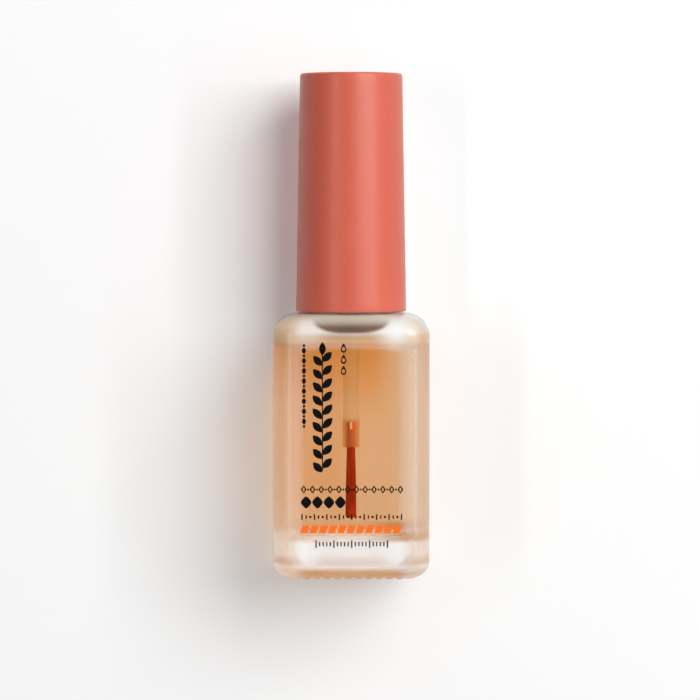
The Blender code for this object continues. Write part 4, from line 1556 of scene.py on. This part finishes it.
class BOTTLE_OT_stem(bpy.types.Operator):
    """Build the milky stem with its flange and ferrule"""

    bl_idname = "oil_bottle.stem"
    bl_label = "Brush Stem"

    def execute(self, context):
        brush = context.scene.oil_bottle.brush
        dress(stem_moulding(brush), stem_finish(brush), "brush", "brush_stem")
        return {"FINISHED"}


class BOTTLE_OT_bristles(bpy.types.Operator):
    """Build the rust-coloured bristles and their staple"""

    bl_idname = "oil_bottle.bristles"
    bl_label = "Bristles and Staple"

    def execute(self, context):
        brush = context.scene.oil_bottle.brush
        dress(bristle_strands(brush), bristle_finish(brush), "brush", "bristle_tuft")
        dress(staple_clip(), staple_finish(brush), "brush", "tuft_staple")
        return {"FINISHED"}


class BOTTLE_OT_print(bpy.types.Operator):
    """Print the plain ornament on the front of the glass"""

    bl_idname = "oil_bottle.print"
    bl_label = "Printed Ornament"

    def execute(self, context):
        ink = context.scene.oil_bottle.ink
        dress(ink_piece("print_black", ink, *black_shapes()), ink_finish("black_ink", ink.black), "bottle")
        dress(ink_piece("print_orange", ink, orange_shapes()), ink_finish("orange_ink", ink.orange), "bottle")
        dress(ink_piece("print_grey", ink, grey_shapes()), ink_finish("grey_ink", ink.grey), "bottle")
        return {"FINISHED"}


class BOTTLE_OT_stage(bpy.types.Operator):
    """Set the pale floor, the soft lamps and the camera"""

    bl_idname = "oil_bottle.stage"
    bl_label = "Stage, Lamps and Camera"

    def execute(self, context):
        stage = context.scene.oil_bottle.stage
        centre = (cad_low + cad_high) / 2
        floor = floor_sheet(stage, centre)
        white_world(stage)
        for lamp in (
            ("key_lamp", stage.key_angle, stage.key_rise, 1.10, 0.75, 0.75, stage.key_power),
            ("strip_lamp", stage.strip_angle, 0.05, 1.00, 0.07, 0.60, stage.strip_power),
            ("fill_lamp", stage.fill_angle, 0.0, 1.00, 0.06, 0.60, stage.fill_power),
            ("bounce_lamp", math.pi, 0.0, 0.40, 1.0, 1.0, stage.back_power),
        ):
            area_lamp(centre, *lamp)
        set_camera(stage)
        context.scene.view_settings.view_transform = "Standard"
        return {"FINISHED"}


OPERATORS = (
    BOTTLE_OT_stage,
    BOTTLE_OT_glass,
    BOTTLE_OT_oil,
    BOTTLE_OT_overcap,
    BOTTLE_OT_inner_cap,
    BOTTLE_OT_gasket,
    BOTTLE_OT_stem,
    BOTTLE_OT_bristles,
    BOTTLE_OT_print,
)


class BOTTLE_PT_panel(bpy.types.Panel):
    """Lists the bottle's pieces."""

    bl_idname = "BOTTLE_PT_panel"
    bl_label = "Cuticle Oil Bottle"
    bl_space_type = "VIEW_3D"
    bl_region_type = "UI"
    bl_category = "Oil Bottle"

    def draw(self, context):
        column = self.layout.column(align=True)
        for operator in OPERATORS:
            column.operator(operator.bl_idname)
        settings = context.scene.oil_bottle
        for key in BOTTLE_PG_settings.__annotations__:
            group = getattr(settings, key)
            box = self.layout.box()
            for name in group.__annotations__:
                box.prop(group, name)


CLASSES = (
    BOTTLE_PG_glass,
    BOTTLE_PG_oil,
    BOTTLE_PG_cap,
    BOTTLE_PG_brush,
    BOTTLE_PG_print,
    BOTTLE_PG_stage,
    BOTTLE_PG_settings,
    *OPERATORS,
    BOTTLE_PT_panel,
)


def register():
    for cls in CLASSES:
        bpy.utils.register_class(cls)
    bpy.types.Scene.oil_bottle = PointerProperty(type=BOTTLE_PG_settings)


def unregister():
    del bpy.types.Scene.oil_bottle
    for cls in reversed(CLASSES):
        bpy.utils.unregister_class(cls)


def main():
    """Build everything."""
    register()
    for operator in OPERATORS:
        group, name = operator.bl_idname.split(".")
        getattr(getattr(bpy.ops, group), name)()


if __name__ == "__main__":
    main()
